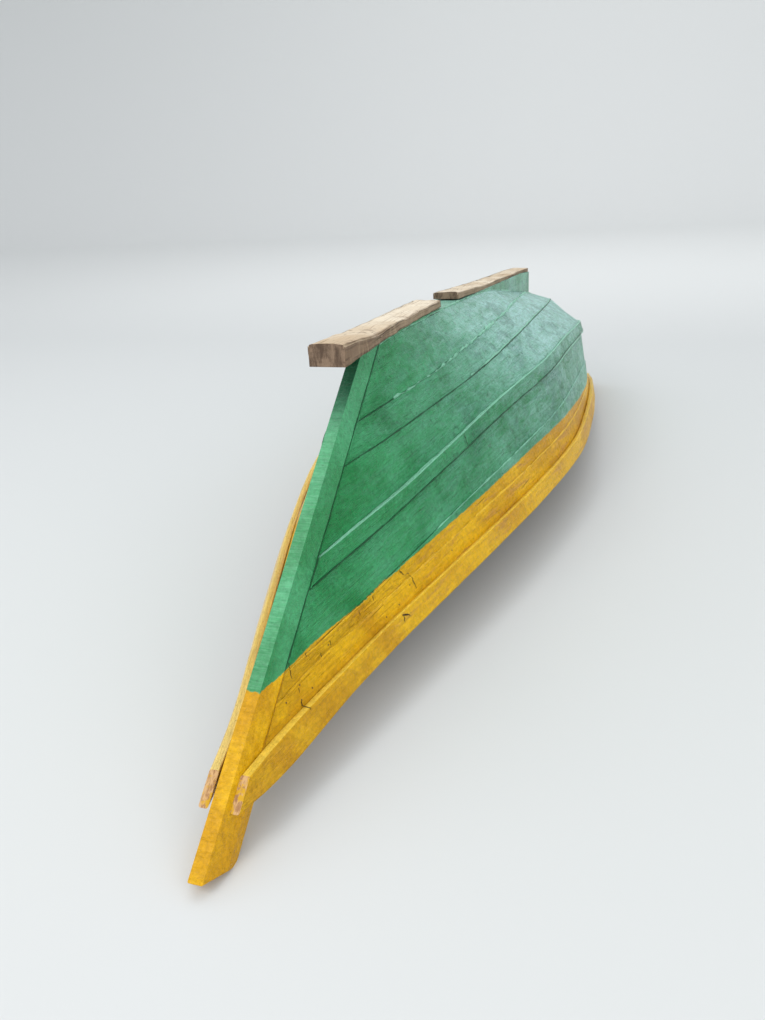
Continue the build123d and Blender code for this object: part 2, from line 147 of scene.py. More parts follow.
# %% Fair curves through the corners
def fair(knots, ys):
    """A smooth curve through knots (x, y, z), read at places ys.

    Between two knots it is the cubic that has their values and slopes. A knot's slope is the mean
    of the straight slopes on its two sides, each weighted by the other side's length."""
    y = knots[:, 1]
    value = knots[:, [0, 2]]
    gap = np.diff(y)
    slope = np.diff(value, axis=0) / gap[:, None]
    inner = (slope[:-1] * gap[1:, None] + slope[1:] * gap[:-1, None]) / (gap[1:] + gap[:-1])[:, None]
    tangent = np.vstack([slope[:1], inner, slope[-1:]])
    n = np.clip(np.searchsorted(y, ys) - 1, 0, len(y) - 2)
    step = gap[n]
    t = np.clip((ys - y[n]) / step, 0, 1)[:, None]
    h = step[:, None]
    a, b = value[n], value[n + 1]
    out = (a * (1 + 2 * t) * (1 - t) ** 2 + b * t ** 2 * (3 - 2 * t)
           + tangent[n] * h * t * (1 - t) ** 2 - tangent[n + 1] * h * t ** 2 * (1 - t))
    return np.column_stack([out[:, 0], ys, out[:, 1]])


def with_rings(knots):
    """Adds the rings that a straight run passes, so both planks at a seam share their knots."""
    start, first = knots[0], knots[1]
    clear, touching = 0.05, 1e-3
    rows = [start]
    for ring in RINGS - MIDDLE:
        if start[1] + clear < ring < first[1] - touching:
            rows.append(start + (first - start) * (ring - start[1]) / (first[1] - start[1]))
    return np.array(rows + list(knots[1:]))


def corner_curves(names, step):
    """Four fair curves of a long board, sampled together from its fore end to its aft end."""
    corners, _, side = corners_of(names)
    lengths = [np.ptp(corners[i:i + 2, :, 1].mean(1)) for i in range(len(corners) - 1)]
    counts = [max(int(round(length / step)), 2) for length in lengths]
    curves = []
    for c in range(4):
        y = corners[:, c, 1]
        runs = [np.linspace(y[i], y[i + 1], count, endpoint=False) for i, count in enumerate(counts)]
        curves.append(fair(with_rings(corners[:, c]), np.concatenate(runs + [y[-1:]])))
    return np.array(curves), side


def travelled(points):
    """Length along a line of points, from its start to each point."""
    return np.concatenate([[0], np.cumsum(np.linalg.norm(np.diff(points, axis=0), axis=1))])


# %% [markdown]
# Mesh helpers. A hand planed board is never quite flat: its faces have slow waves and small
# hollows. A Displace modifier could add them, but it moves points both ways. Here the points
# themselves are moved, always inwards, so a board stays inside its solid. A board's surface is a
# grid: rings of points round its section, one behind the other, closed at both ends.

# %% Waves
TURN = 6.283                             # one turn in radians


def wave(points, seed, size, count=7):
    """Smooth noise between about -1 and 1, with features of about this size.

    It is a sum of sines along random directions, each with its own length and start."""
    rng = np.random.default_rng(seed)
    total = np.zeros(len(points))
    for _ in range(count):
        way = rng.normal(size=3)
        way /= np.linalg.norm(way)
        total += np.sin(points @ way * TURN / (size * rng.uniform(0.6, 1.6)) + rng.uniform(0, TURN))
    return total / math.sqrt(count)


# %% A skin over rings of points
def skin(name, rings, across, along, kinds=None):
    """A closed tube over rings of points (R, M, 3), with a UV map in metres and closed ends.

    Kinds gives each face of the path its material number; the two ends take the third one.
    Where the tube's volume comes out negative, its faces look inwards and are turned round."""
    count, around = rings.shape[:2]
    i, j = np.meshgrid(np.arange(count - 1), np.arange(around), indexing="ij")
    nxt = (j + 1) % around
    quads = np.stack([i * around + j, i * around + nxt, (i + 1) * around + nxt, (i + 1) * around + j], -1)
    u = np.stack([along[i], along[i], along[i + 1], along[i + 1]], -1).reshape(-1)
    wide = np.append(across, across[-1] + np.linalg.norm(rings[0, 0] - rings[0, -1]))
    v = np.stack([wide[j], wide[j + 1], wide[j + 1], wide[j]], -1).reshape(-1)
    faces = quads.reshape(-1, 4).tolist()
    faces += [list(range(around))[::-1], [(count - 1) * around + k for k in range(around)]]
    end_uv = []
    for ring in (rings[0][::-1], rings[-1]):
        flat = ring - ring.mean(0)
        axes = np.linalg.svd(flat, full_matrices=False)[2]
        end_uv.append(flat @ axes[:2].T + 9)
    quad_uv = np.column_stack([u, v]).reshape(-1, 4, 2)
    here = rings - rings.mean((0, 1))
    spread = np.cross(here[:-1], np.roll(here, -1, axis=1)[:-1])
    if (spread * (here[1:] - here[:-1])).sum() < 0:
        faces = [face[::-1] for face in faces]
        quad_uv = quad_uv[:, ::-1]
        end_uv = [part[::-1] for part in end_uv]
    mesh = bpy.data.meshes.new(name)
    mesh.from_pydata(rings.reshape(-1, 3).tolist(), [], faces)
    uv = np.concatenate([quad_uv.reshape(-1, 2)] + end_uv)
    mesh.uv_layers.new(name="UVMap").data.foreach_set("uv", uv.astype(np.float32).ravel())
    smooth = np.ones(len(faces), bool)
    smooth[-2:] = False
    mesh.polygons.foreach_set("use_smooth", smooth)
    if kinds is not None:
        material = np.concatenate([kinds[j.reshape(-1)], [2, 2]]).astype(np.int32)
        mesh.polygons.foreach_set("material_index", material)
    return mesh


# %% Placing a piece
def put(name, mesh, materials, node=(), seed=0.0):
    """Links a finished piece: it rides on the frame and may stand for CAD nodes.

    Three attributes go to its materials: how far each face looks up, how far it looks fore or
    aft, and a seed of its own that shifts the grain from board to board."""
    facing = np.empty(len(mesh.loops) * 3)
    mesh.corner_normals.foreach_get("vector", facing)
    facing = facing.reshape(-1, 3).astype(np.float32)
    mesh.attributes.new("sky", "FLOAT", "CORNER").data.foreach_set("value", facing[:, 2])
    mesh.attributes.new("ends", "FLOAT", "CORNER").data.foreach_set("value", np.abs(facing[:, 1]))
    own = mesh.attributes.new("seed", "FLOAT", "POINT")
    own.data.foreach_set("value", np.full(len(mesh.vertices), seed, np.float32))
    for one in materials:
        mesh.materials.append(one)
    piece = bpy.data.objects.new(name, mesh)
    LINKED.link(piece)
    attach(piece, "root")
    if node:
        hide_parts(*node)
    return piece


# %% The section of a board
def rounded_section(width, thick, radius, faces):
    """Path round a board's section as (s, d): s down its width, d from outer to inner face, in metres.

    Each corner is a quarter circle, and the flat faces between them start a little clear of it."""
    turn = np.linspace(0, math.pi / 2, 4)
    sine, cosine = radius * np.sin(turn), radius * np.cos(turn)
    clear = radius * 1.6
    outer, inner = np.linspace(clear, width - clear, faces), np.linspace(width - clear, clear, 4)
    s = np.concatenate([outer, width - radius + sine, width - radius + cosine,
                        inner, radius - sine, radius - cosine])
    d = np.concatenate([np.zeros(faces), radius - cosine, thick - radius + sine,
                        np.full(4, thick), thick - radius + cosine, radius - sine])
    return np.column_stack([s, d])


# %% [markdown]
# Node groups. Paint, wear and grain are worked out by shader nodes, because a painted image would
# fit one view only and blur close by. An effect that several materials share is a node group. It
# gives a colour, a mask or a height, and the shader itself stays in each material.

# %% Node helpers
def group(name, inputs, outputs):
    """A new node group with named sockets; returns the tree and its two end nodes."""
    tree = bpy.data.node_groups.new(name, "ShaderNodeTree")
    kinds = {"v": "NodeSocketFloat", "c": "NodeSocketColor", "p": "NodeSocketVector"}
    for title, kind in inputs:
        tree.interface.new_socket(title, in_out="INPUT", socket_type=kinds[kind])
    for title, kind in outputs:
        tree.interface.new_socket(title, in_out="OUTPUT", socket_type=kinds[kind])
    return tree, tree.nodes.new("NodeGroupInput"), tree.nodes.new("NodeGroupOutput")


def feed(tree, socket, value):
    """Gives a socket its value, or a link where the value is another node's socket."""
    if isinstance(value, bpy.types.NodeSocket):
        tree.links.new(value, socket)
    else:
        socket.default_value = value


def node(tree, kind, values=(), **settings):
    """A node with its settings and the values or links of its inputs."""
    made = tree.nodes.new("ShaderNode" + kind)
    for key, value in settings.items():
        setattr(made, key, value)
    for key, value in dict(values).items():
        feed(tree, made.inputs[key], value)
    return made


def maths(tree, operation, a, b=0.0, c=0.0, clamp=False):
    """A Math node: one operation on a, b and c, such as a times b plus c."""
    return node(tree, "Math", {0: a, 1: b, 2: c}, operation=operation, use_clamp=clamp).outputs[0]


# %% Sums and layers of colour
def product(tree, *factors):
    """The factors multiplied together."""
    total = factors[0]
    for factor in factors[1:]:
        total = maths(tree, "MULTIPLY", total, factor)
    return total


def blend(tree, share, a, b, mode="MIX"):
    """Colour a, covered by colour b by a share."""
    made = node(tree, "Mix", data_type="RGBA", blend_type=mode)
    for socket, value in ((made.inputs[0], share), (made.inputs[6], a), (made.inputs[7], b)):
        feed(tree, socket, value)
    return made.outputs[2]


def lay(tree, colour, over, mask, share):
    """A colour with another laid over it where a mask shows, at most by a share."""
    return blend(tree, product(tree, mask, share), colour, over)


def span(tree, value, low, high, to_low=0.0, to_high=1.0):
    """A value mapped from one range to another along a soft S curve, held at the ends."""
    ends = {0: value, 1: low, 2: high, 3: to_low, 4: to_high}
    return node(tree, "MapRange", ends, interpolation_type="SMOOTHSTEP").outputs[0]


# %% Noises
def noise(tree, where, scale, detail=4.0, rough=0.55, stretch=None, twist=0.0):
    """Value of a noise that can be stretched along its axes."""
    if stretch:
        where = node(tree, "VectorMath", {0: where, 1: stretch}, operation="MULTIPLY").outputs[0]
    values = {"Vector": where, "Scale": scale, "Detail": detail, "Roughness": rough, "Distortion": twist}
    return node(tree, "TexNoise", values).outputs[0]


def streaks(tree, board, along, across, detail, rough, twist):
    """Noise streaked along a board: so many features a metre along it and across it."""
    return noise(tree, board, 1, detail, rough, (along, across, 1), twist)


def ruffled(tree, value, pattern, gain, clamp=False):
    """A value raised and lowered by a pattern that swings round 0.5, times a gain."""
    return maths(tree, "MULTIPLY_ADD", maths(tree, "SUBTRACT", pattern, 0.5), gain, value, clamp)


# %% Colours and groups
def rgb(red, green, blue):
    """A screen colour of 0 to 255 as linear values: a power curve, with a straight line near black."""
    parts = [((c / 255 + 0.055) / 1.055) ** 2.4 if c > 10 else c / 3294 for c in (red, green, blue)]
    return (*parts, 1.0)


def use(tree, made, values=()):
    """A node group placed in a material."""
    inside = tree.nodes.new("ShaderNodeGroup")
    inside.node_tree = made
    for key, value in dict(values).items():
        tree.links.new(value, inside.inputs[key])
    return inside.outputs


# %% [markdown]
# Where a point is. Paint wears by place: more towards the stern, more on faces turned to the sky.
# Grain runs along each board. Every material could ask for these by itself, but one group keeps them
# the same for all. It gives the point in the boat's own axes, the point on the board from its UV
# map, shifted by the board's seed, and the attributes set when a piece is placed.

# %% Node group: where a point is
tree, entry, leave = group("place", [], [("Object", "p"), ("Board", "p"), ("Sky", "v"), ("Ends", "v"),
                                         ("Aft", "v")])
coord = node(tree, "TexCoord")
board = node(tree, "UVMap", uv_map="UVMap")
own = node(tree, "Attribute", attribute_name="seed")
shift = node(tree, "CombineXYZ", {0: own.outputs["Fac"], 1: own.outputs["Fac"]})
moved = node(tree, "VectorMath", {0: board.outputs[0], 1: shift.outputs[0]}, operation="ADD")
tree.links.new(coord.outputs["Object"], leave.inputs["Object"])
tree.links.new(moved.outputs[0], leave.inputs["Board"])
tree.links.new(node(tree, "Attribute", attribute_name="sky").outputs["Fac"], leave.inputs["Sky"])
tree.links.new(node(tree, "Attribute", attribute_name="ends").outputs["Fac"], leave.inputs["Ends"])
axes = node(tree, "SeparateXYZ", {0: coord.outputs["Object"]})
tree.links.new(maths(tree, "ADD", axes.outputs[1], MIDDLE), leave.inputs["Aft"])
PLACE = tree

# %% [markdown]
# The line between the paints. The hull was painted green above a line and yellow below it, cut in
# freehand. Two materials on two sets of faces would make a line as ragged as the mesh. A curve node
# holds the line's height along the boat, and small noises make it waver as a brush does.

# %% Node group: the line between the two paints
# Aft and height of the line, in metres
PAINT_LINE = [(0.30, 0.318), (0.40, 0.325), (0.50, 0.322), (0.56, 0.327), (0.62, 0.334), (0.73, 0.336),
              (0.85, 0.338), (0.99, 0.348), (1.13, 0.358), (1.29, 0.371), (1.46, 0.382), (1.64, 0.393),
              (1.86, 0.406), (2.12, 0.417), (2.30, 0.419), (2.50, 0.417), (2.70, 0.409), (2.85, 0.400),
              (3.05, 0.381), (3.27, 0.353), (3.43, 0.338), (3.75, 0.294), (4.00, 0.262), (4.30, 0.222),
              (4.60, 0.180), (4.92, 0.135)]
LINE_REACH = 5                           # length that the curve node's 0 to 1 stands for
LINE_ENDS = (0.28, 0.15)                 # heights at its two ends
WAVER, DRIP, SOFT_EDGE = 0.008, 0.009, 0.0015
tree, entry, leave = group("paint_line", [("Object", "p")], [("Green", "v")])
axes = node(tree, "SeparateXYZ", {0: entry.outputs["Object"]})
share = maths(tree, "MULTIPLY_ADD", axes.outputs[1], 1 / LINE_REACH, MIDDLE / LINE_REACH)
curve = node(tree, "FloatCurve", {"Factor": 1.0, "Value": share})
points = curve.mapping.curves[0].points
points[0].location, points[1].location = (0, LINE_ENDS[0]), (1, LINE_ENDS[1])
for aft, height in PAINT_LINE:
    points.new(aft / LINE_REACH, height)
curve.mapping.update()
above = maths(tree, "SUBTRACT", axes.outputs[2], curve.outputs[0])
above = ruffled(tree, above, noise(tree, entry.outputs["Object"], 9, 5, 0.6), WAVER)
above = ruffled(tree, above, noise(tree, entry.outputs["Object"], 60, 2, 0.5), DRIP)
tree.links.new(span(tree, above, -SOFT_EDGE, SOFT_EDGE), leave.inputs["Green"])
PAINT_SPLIT = tree
print("paint line points", len(PAINT_LINE))

# %% [markdown]
# Brush strokes and grain. House paint on rough planks shows the brush's streaks along the board and
# the wood's grain below them. A picture of wood laid over the boards would repeat, and stretch where
# a board tapers. Noises stretched along each board don't. Broad blotches and fine grit keep any face
# from looking even. All paints and woods share this group.

# %% Node group: brush strokes, grain and blotches
tree, entry, leave = group("boards", [("Board", "p"), ("Object", "p")],
                           [("Strokes", "v"), ("Grain", "v"), ("Blotch", "v"), ("Fine", "v")])
strokes = streaks(tree, entry.outputs["Board"], 7, 230, 6, 0.65, 0.3)
grain = streaks(tree, entry.outputs["Board"], 2.2, 75, 8, 0.7, 1.2)
blotch = noise(tree, entry.outputs["Object"], 2.6, 7, 0.62, None, 0.4)
fine = noise(tree, entry.outputs["Object"], 55, 5, 0.6)
for title, socket in (("Strokes", strokes), ("Grain", grain), ("Blotch", blotch), ("Fine", fine)):
    tree.links.new(socket, leave.inputs[title])
BOARDS = tree


def material(name):
    """A new material, its node tree and its shader."""
    made = bpy.data.materials.new(name)
    made.use_nodes = True
    return made, made.node_tree, made.node_tree.nodes["Principled BSDF"]


def surroundings(tree):
    """Where the point is, and the board patterns there, for a material."""
    place = use(tree, PLACE)
    return place, use(tree, BOARDS, {"Board": place["Board"], "Object": place["Object"]})


def relief(tree, shader, parts):
    """Bumps from (height, depth in metres) pairs, joined in one chain."""
    normal = None
    for height, depth in parts:
        bump = node(tree, "Bump", {"Height": height, "Distance": depth, "Strength": 1.0})
        if normal is not None:
            tree.links.new(normal, bump.inputs["Normal"])
        normal = bump.outputs[0]
    tree.links.new(normal, shader.inputs["Normal"])


# %% [markdown]
# Green paint. Fresh and deep near the bow, it turns pale and chalky towards the stern. The paleness
# is partly chalky wear and partly a painted reflection of the sky, most on the faces that look at the
# sky. Stains and small dark smudges lie over it, and pale scuffs that are partly a painted sky
# highlight too. One noise on one colour would look printed, so each kind of wear is a layer with its
# own size and place.

# %% Node group: green paint
DEEP_GREEN, LEAF_GREEN, GREYED_GREEN = rgb(28, 132, 68), rgb(58, 160, 98), rgb(78, 148, 114)
# Pale greens for chalky wear, and for the sky's reflection painted on.
CHALK_AND_SHEEN_GREEN, BLEACH_AND_SHEEN_GREEN = rgb(122, 188, 164), rgb(172, 218, 212)
STAIN, SCUFF_AND_SHEEN, SMUDGE = rgb(66, 108, 104), rgb(206, 236, 236), rgb(38, 80, 60)
PAINT_INPUTS = [("Object", "p"), ("Board", "p"), ("Sky", "v"), ("Aft", "v")]
tree, entry, leave = group("green_paint", PAINT_INPUTS, [("Color", "c")])
where, board, sky, aft = (entry.outputs[key] for key in ("Object", "Board", "Sky", "Aft"))
blotch = use(tree, BOARDS, {"Board": board, "Object": where})["Blotch"]
far = span(tree, aft, 0.6, 3.3)
skyward = span(tree, sky, 0.08, 0.85)
deep = blend(tree, span(tree, blotch, 0.38, 0.62), DEEP_GREEN, LEAF_GREEN)
deep = blend(tree, span(tree, aft, 1.0, 2.2, 0.0, 0.35), deep, GREYED_GREEN)
pale = blend(tree, span(tree, far, 0.2, 1.0), CHALK_AND_SHEEN_GREEN, BLEACH_AND_SHEEN_GREEN)
# Paleness: chalky wear towards the stern, plus a painted sky reflection on faces turned to the sky.
bleach_and_sky_sheen = product(tree, far, maths(tree, "MULTIPLY_ADD", skyward, 0.44, 0.30))
reach = maths(tree, "MULTIPLY_ADD", far, 0.8, 0.4)
bleach_and_sky_sheen = ruffled(tree, bleach_and_sky_sheen, streaks(tree, board, 8, 30, 9, 0.68, 0.9), product(tree, reach, 1.5))
bleach_and_sky_sheen = ruffled(tree, bleach_and_sky_sheen, blotch, product(tree, reach, 0.9), clamp=True)
colour = blend(tree, bleach_and_sky_sheen, deep, pale)
stains = span(tree, noise(tree, where, 7, 9, 0.64, (1, 0.6, 1), 1.0), 0.50, 0.62)
colour = lay(tree, colour, STAIN, stains, span(tree, aft, 1.0, 2.6, 0.04, 0.34))
# Pale scuffs on far faces turned to the sky: partly wear, partly a painted sky highlight.
scuff_and_sheen_mask = span(tree, streaks(tree, board, 14, 22, 8, 0.66, 1.4), 0.54, 0.64)
colour = lay(tree, colour, SCUFF_AND_SHEEN, scuff_and_sheen_mask, product(tree, far, skyward, 0.26))
smudges = span(tree, noise(tree, where, 24, 8, 0.72), 0.56, 0.66)
colour = lay(tree, colour, SMUDGE, smudges, span(tree, aft, 0.6, 1.7, 0.06, 0.48))
tree.links.new(colour, leave.inputs["Color"])
GREEN = tree

# %% [markdown]
# Yellow paint. The green's layers could be used again in yellow, but this paint wears in its own
# way. It is thinner: where hands and ropes rub it, an orange tan shows through, more towards the
# stern, and the grain is dark in it. Faces turned straight up get a painted highlight of brighter yellow.

# %% Node group: yellow paint
OCHRE, BRIGHT_YELLOW, RUBBED_TAN = rgb(208, 152, 4), rgb(240, 188, 16), rgb(206, 150, 66)
GRAIN_SHADE, MUD = rgb(156, 102, 6), rgb(190, 126, 10)
STROKE_YELLOW, LEDGE_HIGHLIGHT_YELLOW = rgb(250, 212, 50), rgb(255, 218, 84)
tree, entry, leave = group("yellow_paint", PAINT_INPUTS, [("Color", "c")])
where, board, sky, aft = (entry.outputs[key] for key in ("Object", "Board", "Sky", "Aft"))
boards = use(tree, BOARDS, {"Board": board, "Object": where})
colour = blend(tree, span(tree, boards["Blotch"], 0.38, 0.62), OCHRE, BRIGHT_YELLOW)
rubbed = span(tree, streaks(tree, board, 4, 30, 8, 0.76, 0.8), 0.52, 0.62)
colour = lay(tree, colour, RUBBED_TAN, rubbed, span(tree, aft, 0.2, 1.8, 0.15, 0.85))
colour = lay(tree, colour, GRAIN_SHADE, span(tree, boards["Grain"], 0.54, 0.68), 0.28)
colour = lay(tree, colour, MUD, span(tree, streaks(tree, board, 9, 46, 8, 0.78, 0.8), 0.53, 0.62), 0.16)
colour = lay(tree, colour, STROKE_YELLOW, span(tree, boards["Strokes"], 0.56, 0.70), 0.25)
# Painted highlight: brighter yellow on faces turned straight up.
colour = lay(tree, colour, LEDGE_HIGHLIGHT_YELLOW, span(tree, sky, 0.80, 0.95), 0.75)
tree.links.new(colour, leave.inputs["Color"])
YELLOW = tree
print("paint groups made")

# %% [markdown]
# Paint materials. A material for each colour would be simpler, but most painted timbers carry both.
# So one material with the line in it runs over stem, planks and keel without a break. The stem was
# planed across, which shows as fine level lines with a painted sheen on faces turned to the sky, and
# its upper end has the shoe's shadow painted on. Seams hold caulk ridges or dark gaps, and the port
# rail catches light from the port side, so these have a tint laid over. The seams' pale tint is
# partly a painted highlight and their dark tint partly painted shade; the port rail's pale tint is
# a painted highlight.

# %% Layers of the hull's paint
HAIRLINE, SPECK = rgb(40, 48, 20), rgb(44, 44, 26)
PLANE_MARK_SHEEN_GREEN, SHADED_GREEN = rgb(146, 206, 168), rgb(8, 74, 48)


def plane_marks_with_sheen_and_shade(tree, colour, place, green):
    """Level plane marks with a painted sheen on faces turned to the sky, and painted shade
    under the shoe's fore end.
    """
    hatch = noise(tree, place["Object"], 1, 6, 0.75, (10, 170, 170), 0.4)
    sheen = product(tree, span(tree, place["Sky"], -0.1, 0.9), span(tree, hatch, 0.4, 0.6, 0.16, 0.34))
    # Painted sheen: the plane marks are lit up on faces turned to the sky.
    colour = lay(tree, colour, PLANE_MARK_SHEEN_GREEN, sheen, green)
    shade = span(tree, place["Aft"], 1.04, 1.24, 0.0, 0.85)
    return lay(tree, colour, SHADED_GREEN, span(tree, place["Sky"], 0.5, 0.7), shade)


def paint(name, planed_with_sheen_and_shade=False, tint=None):
    """Both paints, parted by the line. A tint is (share, green, yellow) laid over them."""
    made, tree, shader = material(name)
    place, boards = surroundings(tree)
    green = use(tree, PAINT_SPLIT, {"Object": place["Object"]})["Green"]
    fed = {key: place[key] for key in ("Object", "Board", "Sky", "Aft")}
    colour = blend(tree, green, use(tree, YELLOW, fed)["Color"], use(tree, GREEN, fed)["Color"])
    hairs = span(tree, streaks(tree, place["Board"], 5, 420, 3, 0.5, 0.1), 0.66, 0.71)
    colour = lay(tree, colour, HAIRLINE, hairs, 0.45)
    if planed_with_sheen_and_shade:
        colour = plane_marks_with_sheen_and_shade(tree, colour, place, green)
    grit = span(tree, noise(tree, place["Object"], 60, 8, 0.85), 0.40, 0.60, 0.84, 1.10)
    colour = blend(tree, 1.0, colour, grit, "MULTIPLY")
    if tint:
        share, green_tint, yellow_tint = tint
        colour = blend(tree, share, colour, blend(tree, green, yellow_tint, green_tint))
    colour = lay(tree, colour, SPECK, span(tree, noise(tree, place["Object"], 150, 3, 0.5), 0.68, 0.75), 0.5)
    tree.links.new(colour, shader.inputs["Base Color"])
    tree.links.new(span(tree, boards["Fine"], 0.3, 0.7, 0.24, 0.46), shader.inputs["Roughness"])
    shader.inputs["Specular IOR Level"].default_value = 0.24
    heights = [(boards["Strokes"], 0.0045), (boards["Grain"], 0.0060), (boards["Fine"], 0.0035)]
    if planed_with_sheen_and_shade:
        heights.append((noise(tree, place["Object"], 1, 4, 0.6, (9, 60, 60), 0.6), 0.0070))
    relief(tree, shader, heights)
    return made


# %% Materials: hull paint, the stem's, and the tinted ones
HULL = paint("hull_paint")
# The stem's paint: plane marks, a painted sheen, and a painted shadow under the shoe.
STEM_PAINT = paint("stem_paint", planed_with_sheen_and_shade=True)
# Seam tints: the pale one is partly a painted highlight on proud edges, the dark one partly painted shade.
CAULK_AND_HIGHLIGHT_SEAM = paint("light_seam", tint=(0.66, rgb(150, 218, 186), rgb(252, 208, 60)))
GAP_AND_SHADOW_SEAM = paint("dark_seam", tint=(0.85, rgb(12, 62, 34), rgb(184, 128, 8)))
# A paler paint for the port rail: a painted highlight for the light it catches from the port side.
RAIL_HIGHLIGHT_PAINT = paint("rail_highlight_paint", tint=(0.55, rgb(134, 214, 168), rgb(255, 232, 158)))
print("paints made")

# %% [markdown]
# Raw timber of the shoe. It was never painted: its top is bleached to cream and crossed by dark
# adze strikes, its sides are brown, and its sawn ends show growth rings. Each face could be given a
# material by hand. Here the attributes for sky and ends choose between the three, so one material
# does for the whole timber and fades softly over its edges.

# %% Material: raw timber
CREAM, SUNNED = rgb(236, 222, 198), rgb(204, 180, 148)
TOP_GRAIN, SCRATCH, STRIKE = rgb(146, 116, 86), rgb(84, 66, 52), rgb(134, 106, 82)
SIDE_TAN, SIDE_BROWN = rgb(168, 146, 120), rgb(128, 104, 82)
SIDE_GRAIN, SAW_MARK = rgb(72, 54, 42), rgb(196, 172, 140)
SAWN_TAN, SAWN_BROWN, SAWN_DARK = rgb(146, 122, 100), rgb(92, 72, 56), rgb(62, 46, 36)
RAW, tree, shader = material("raw_timber")
place, boards = surroundings(tree)
mottled = span(tree, boards["Blotch"], 0.35, 0.65)
top = blend(tree, mottled, CREAM, SUNNED)
top = lay(tree, top, TOP_GRAIN, span(tree, boards["Grain"], 0.50, 0.68), 0.75)
top = lay(tree, top, SCRATCH, span(tree, streaks(tree, place["Board"], 9, 70, 3, 0.5, 0.2), 0.66, 0.72), 0.7)
strikes = span(tree, noise(tree, place["Object"], 1, 5, 0.65, (7, 24, 1), 0.5), 0.56, 0.66)
top = lay(tree, top, STRIKE, strikes, 0.65)
upright = noise(tree, place["Object"], 1, 7, 0.72, (45, 45, 6), 0.4)
brown = blend(tree, mottled, SIDE_TAN, SIDE_BROWN)
brown = lay(tree, brown, SIDE_GRAIN, span(tree, boards["Grain"], 0.48, 0.64), 0.75)
brown = lay(tree, brown, SAW_MARK, span(tree, upright, 0.52, 0.68), 0.55)
colour = blend(tree, span(tree, place["Sky"], 0.45, 0.85), brown, top)
rings = noise(tree, place["Object"], 1, 8, 0.78, (40, 6, 14), 0.3)
sawn = blend(tree, span(tree, rings, 0.40, 0.62), SAWN_TAN, SAWN_BROWN)
sawn = lay(tree, sawn, SAWN_DARK, span(tree, upright, 0.55, 0.7), 0.5)
colour = blend(tree, span(tree, place["Ends"], 0.6, 0.9), colour, sawn)
tree.links.new(colour, shader.inputs["Base Color"])
shader.inputs["Roughness"].default_value = 0.85
relief(tree, shader, [(boards["Grain"], 0.0040), (upright, 0.0020), (boards["Fine"], 0.0015)])

# %% [markdown]
# End grain of the rails: bare wood with rings across it, and dabs of yellow where the brush ran
# over. A Wave texture gives rings too, but even ones. A stretched noise is as uneven as wood.

# %% Material: end grain
END_TAN, END_BROWN, DAB = rgb(214, 172, 118), rgb(166, 120, 78), rgb(214, 166, 34)
END, tree, shader = material("end_grain")
place = use(tree, PLACE)
rings = noise(tree, place["Object"], 1, 6, 0.7, (150, 60, 14), 0.6)
colour = blend(tree, span(tree, rings, 0.42, 0.60), END_TAN, END_BROWN)
dabs = noise(tree, place["Object"], 1, 4, 0.6, (46, 46, 9))
colour = blend(tree, span(tree, dabs, 0.50, 0.58), colour, DAB)
tree.links.new(colour, shader.inputs["Base Color"])
shader.inputs["Roughness"].default_value = 0.85
relief(tree, shader, [(rings, 0.0015)])

# %% [markdown]
# Cracks and nails. A crack could be cut into the mesh, but it is thinner than the mesh's faces, so
# it is a sliver of dark colour laid on: painted shade of the narrow gap. A nail's head has rusted.
# Both are a noise between two colours, with no grain of their own.

# %% Materials: crack and nail
def speckled(name, scale, dark, light, roughness):
    """A dull material that changes between two colours from grain to grain."""
    made, tree, shader = material(name)
    pattern = noise(tree, use(tree, PLACE)["Object"], scale, 3, 0.6)
    tree.links.new(blend(tree, pattern, dark, light), shader.inputs["Base Color"])
    shader.inputs["Roughness"].default_value = roughness
    return made


GAP_SHADOW = speckled("gap_shadow", 300, rgb(22, 16, 8), rgb(64, 44, 18), 0.95)
NAIL = speckled("nail", 400, rgb(52, 34, 20), rgb(112, 74, 38), 0.7)

# %% [markdown]
# Bare wood inside. The frames, thwarts and the planks' inner faces were left unpainted and have
# darkened. The shoe's raw timber would be too pale here, as no sun gets in. The grain that lies
# under the paint is used again, in plain wood colours.

# %% Material: bare wood
WOOD_LIGHT, WOOD_DARK, WOOD_GRAIN = rgb(150, 118, 84), rgb(118, 94, 70), rgb(84, 62, 42)
BARE, tree, shader = material("bare_wood")
place, boards = surroundings(tree)
colour = blend(tree, span(tree, boards["Blotch"], 0.35, 0.65), WOOD_LIGHT, WOOD_DARK)
colour = lay(tree, colour, WOOD_GRAIN, span(tree, boards["Grain"], 0.5, 0.68), 0.6)
tree.links.new(colour, shader.inputs["Base Color"])
shader.inputs["Roughness"].default_value = 0.78
relief(tree, shader, [(boards["Grain"], 0.002), (boards["Fine"], 0.0008)])
print("materials", len(bpy.data.materials))

# %% [markdown]
# Planks and rails. Each was sawn, planed by hand and bent round the frames. A curve with a bevel
# would twist its section along the way. Instead a rounded section is stretched between the four
# corner curves at every step, so a board's edges lie exactly where the CAD has them. Hollows from
# the plane only go inwards.

# %% Sizes of the boards
BOARD_NAMES = ["garboard", "second_strake", "third_strake", "wale_strake", "fifth_strake", "sixth_strake",
               "sheer_strake", "rail"]
STRAKES = BOARD_NAMES[:-1]
SIDES = {1: "starboard", -1: "port"}     # by the sign of x
ROWS, EDGE = {"rail": 5, "wale_strake": 5}, {"rail": 0.006, "wale_strake": 0.005}
USUAL_ROWS, USUAL_EDGE = 12, 0.003       # rows of points over a face, and radius of the edges
PLANE_DIP = 0.0018                       # greatest depth of the plane's hollows
CURVE_STEP = 0.025
OUTSIDE, INSIDE, LEDGE = 0, 1, 3         # material numbers of a board's faces; its ends have 2
print("boards a side", len(BOARD_NAMES))


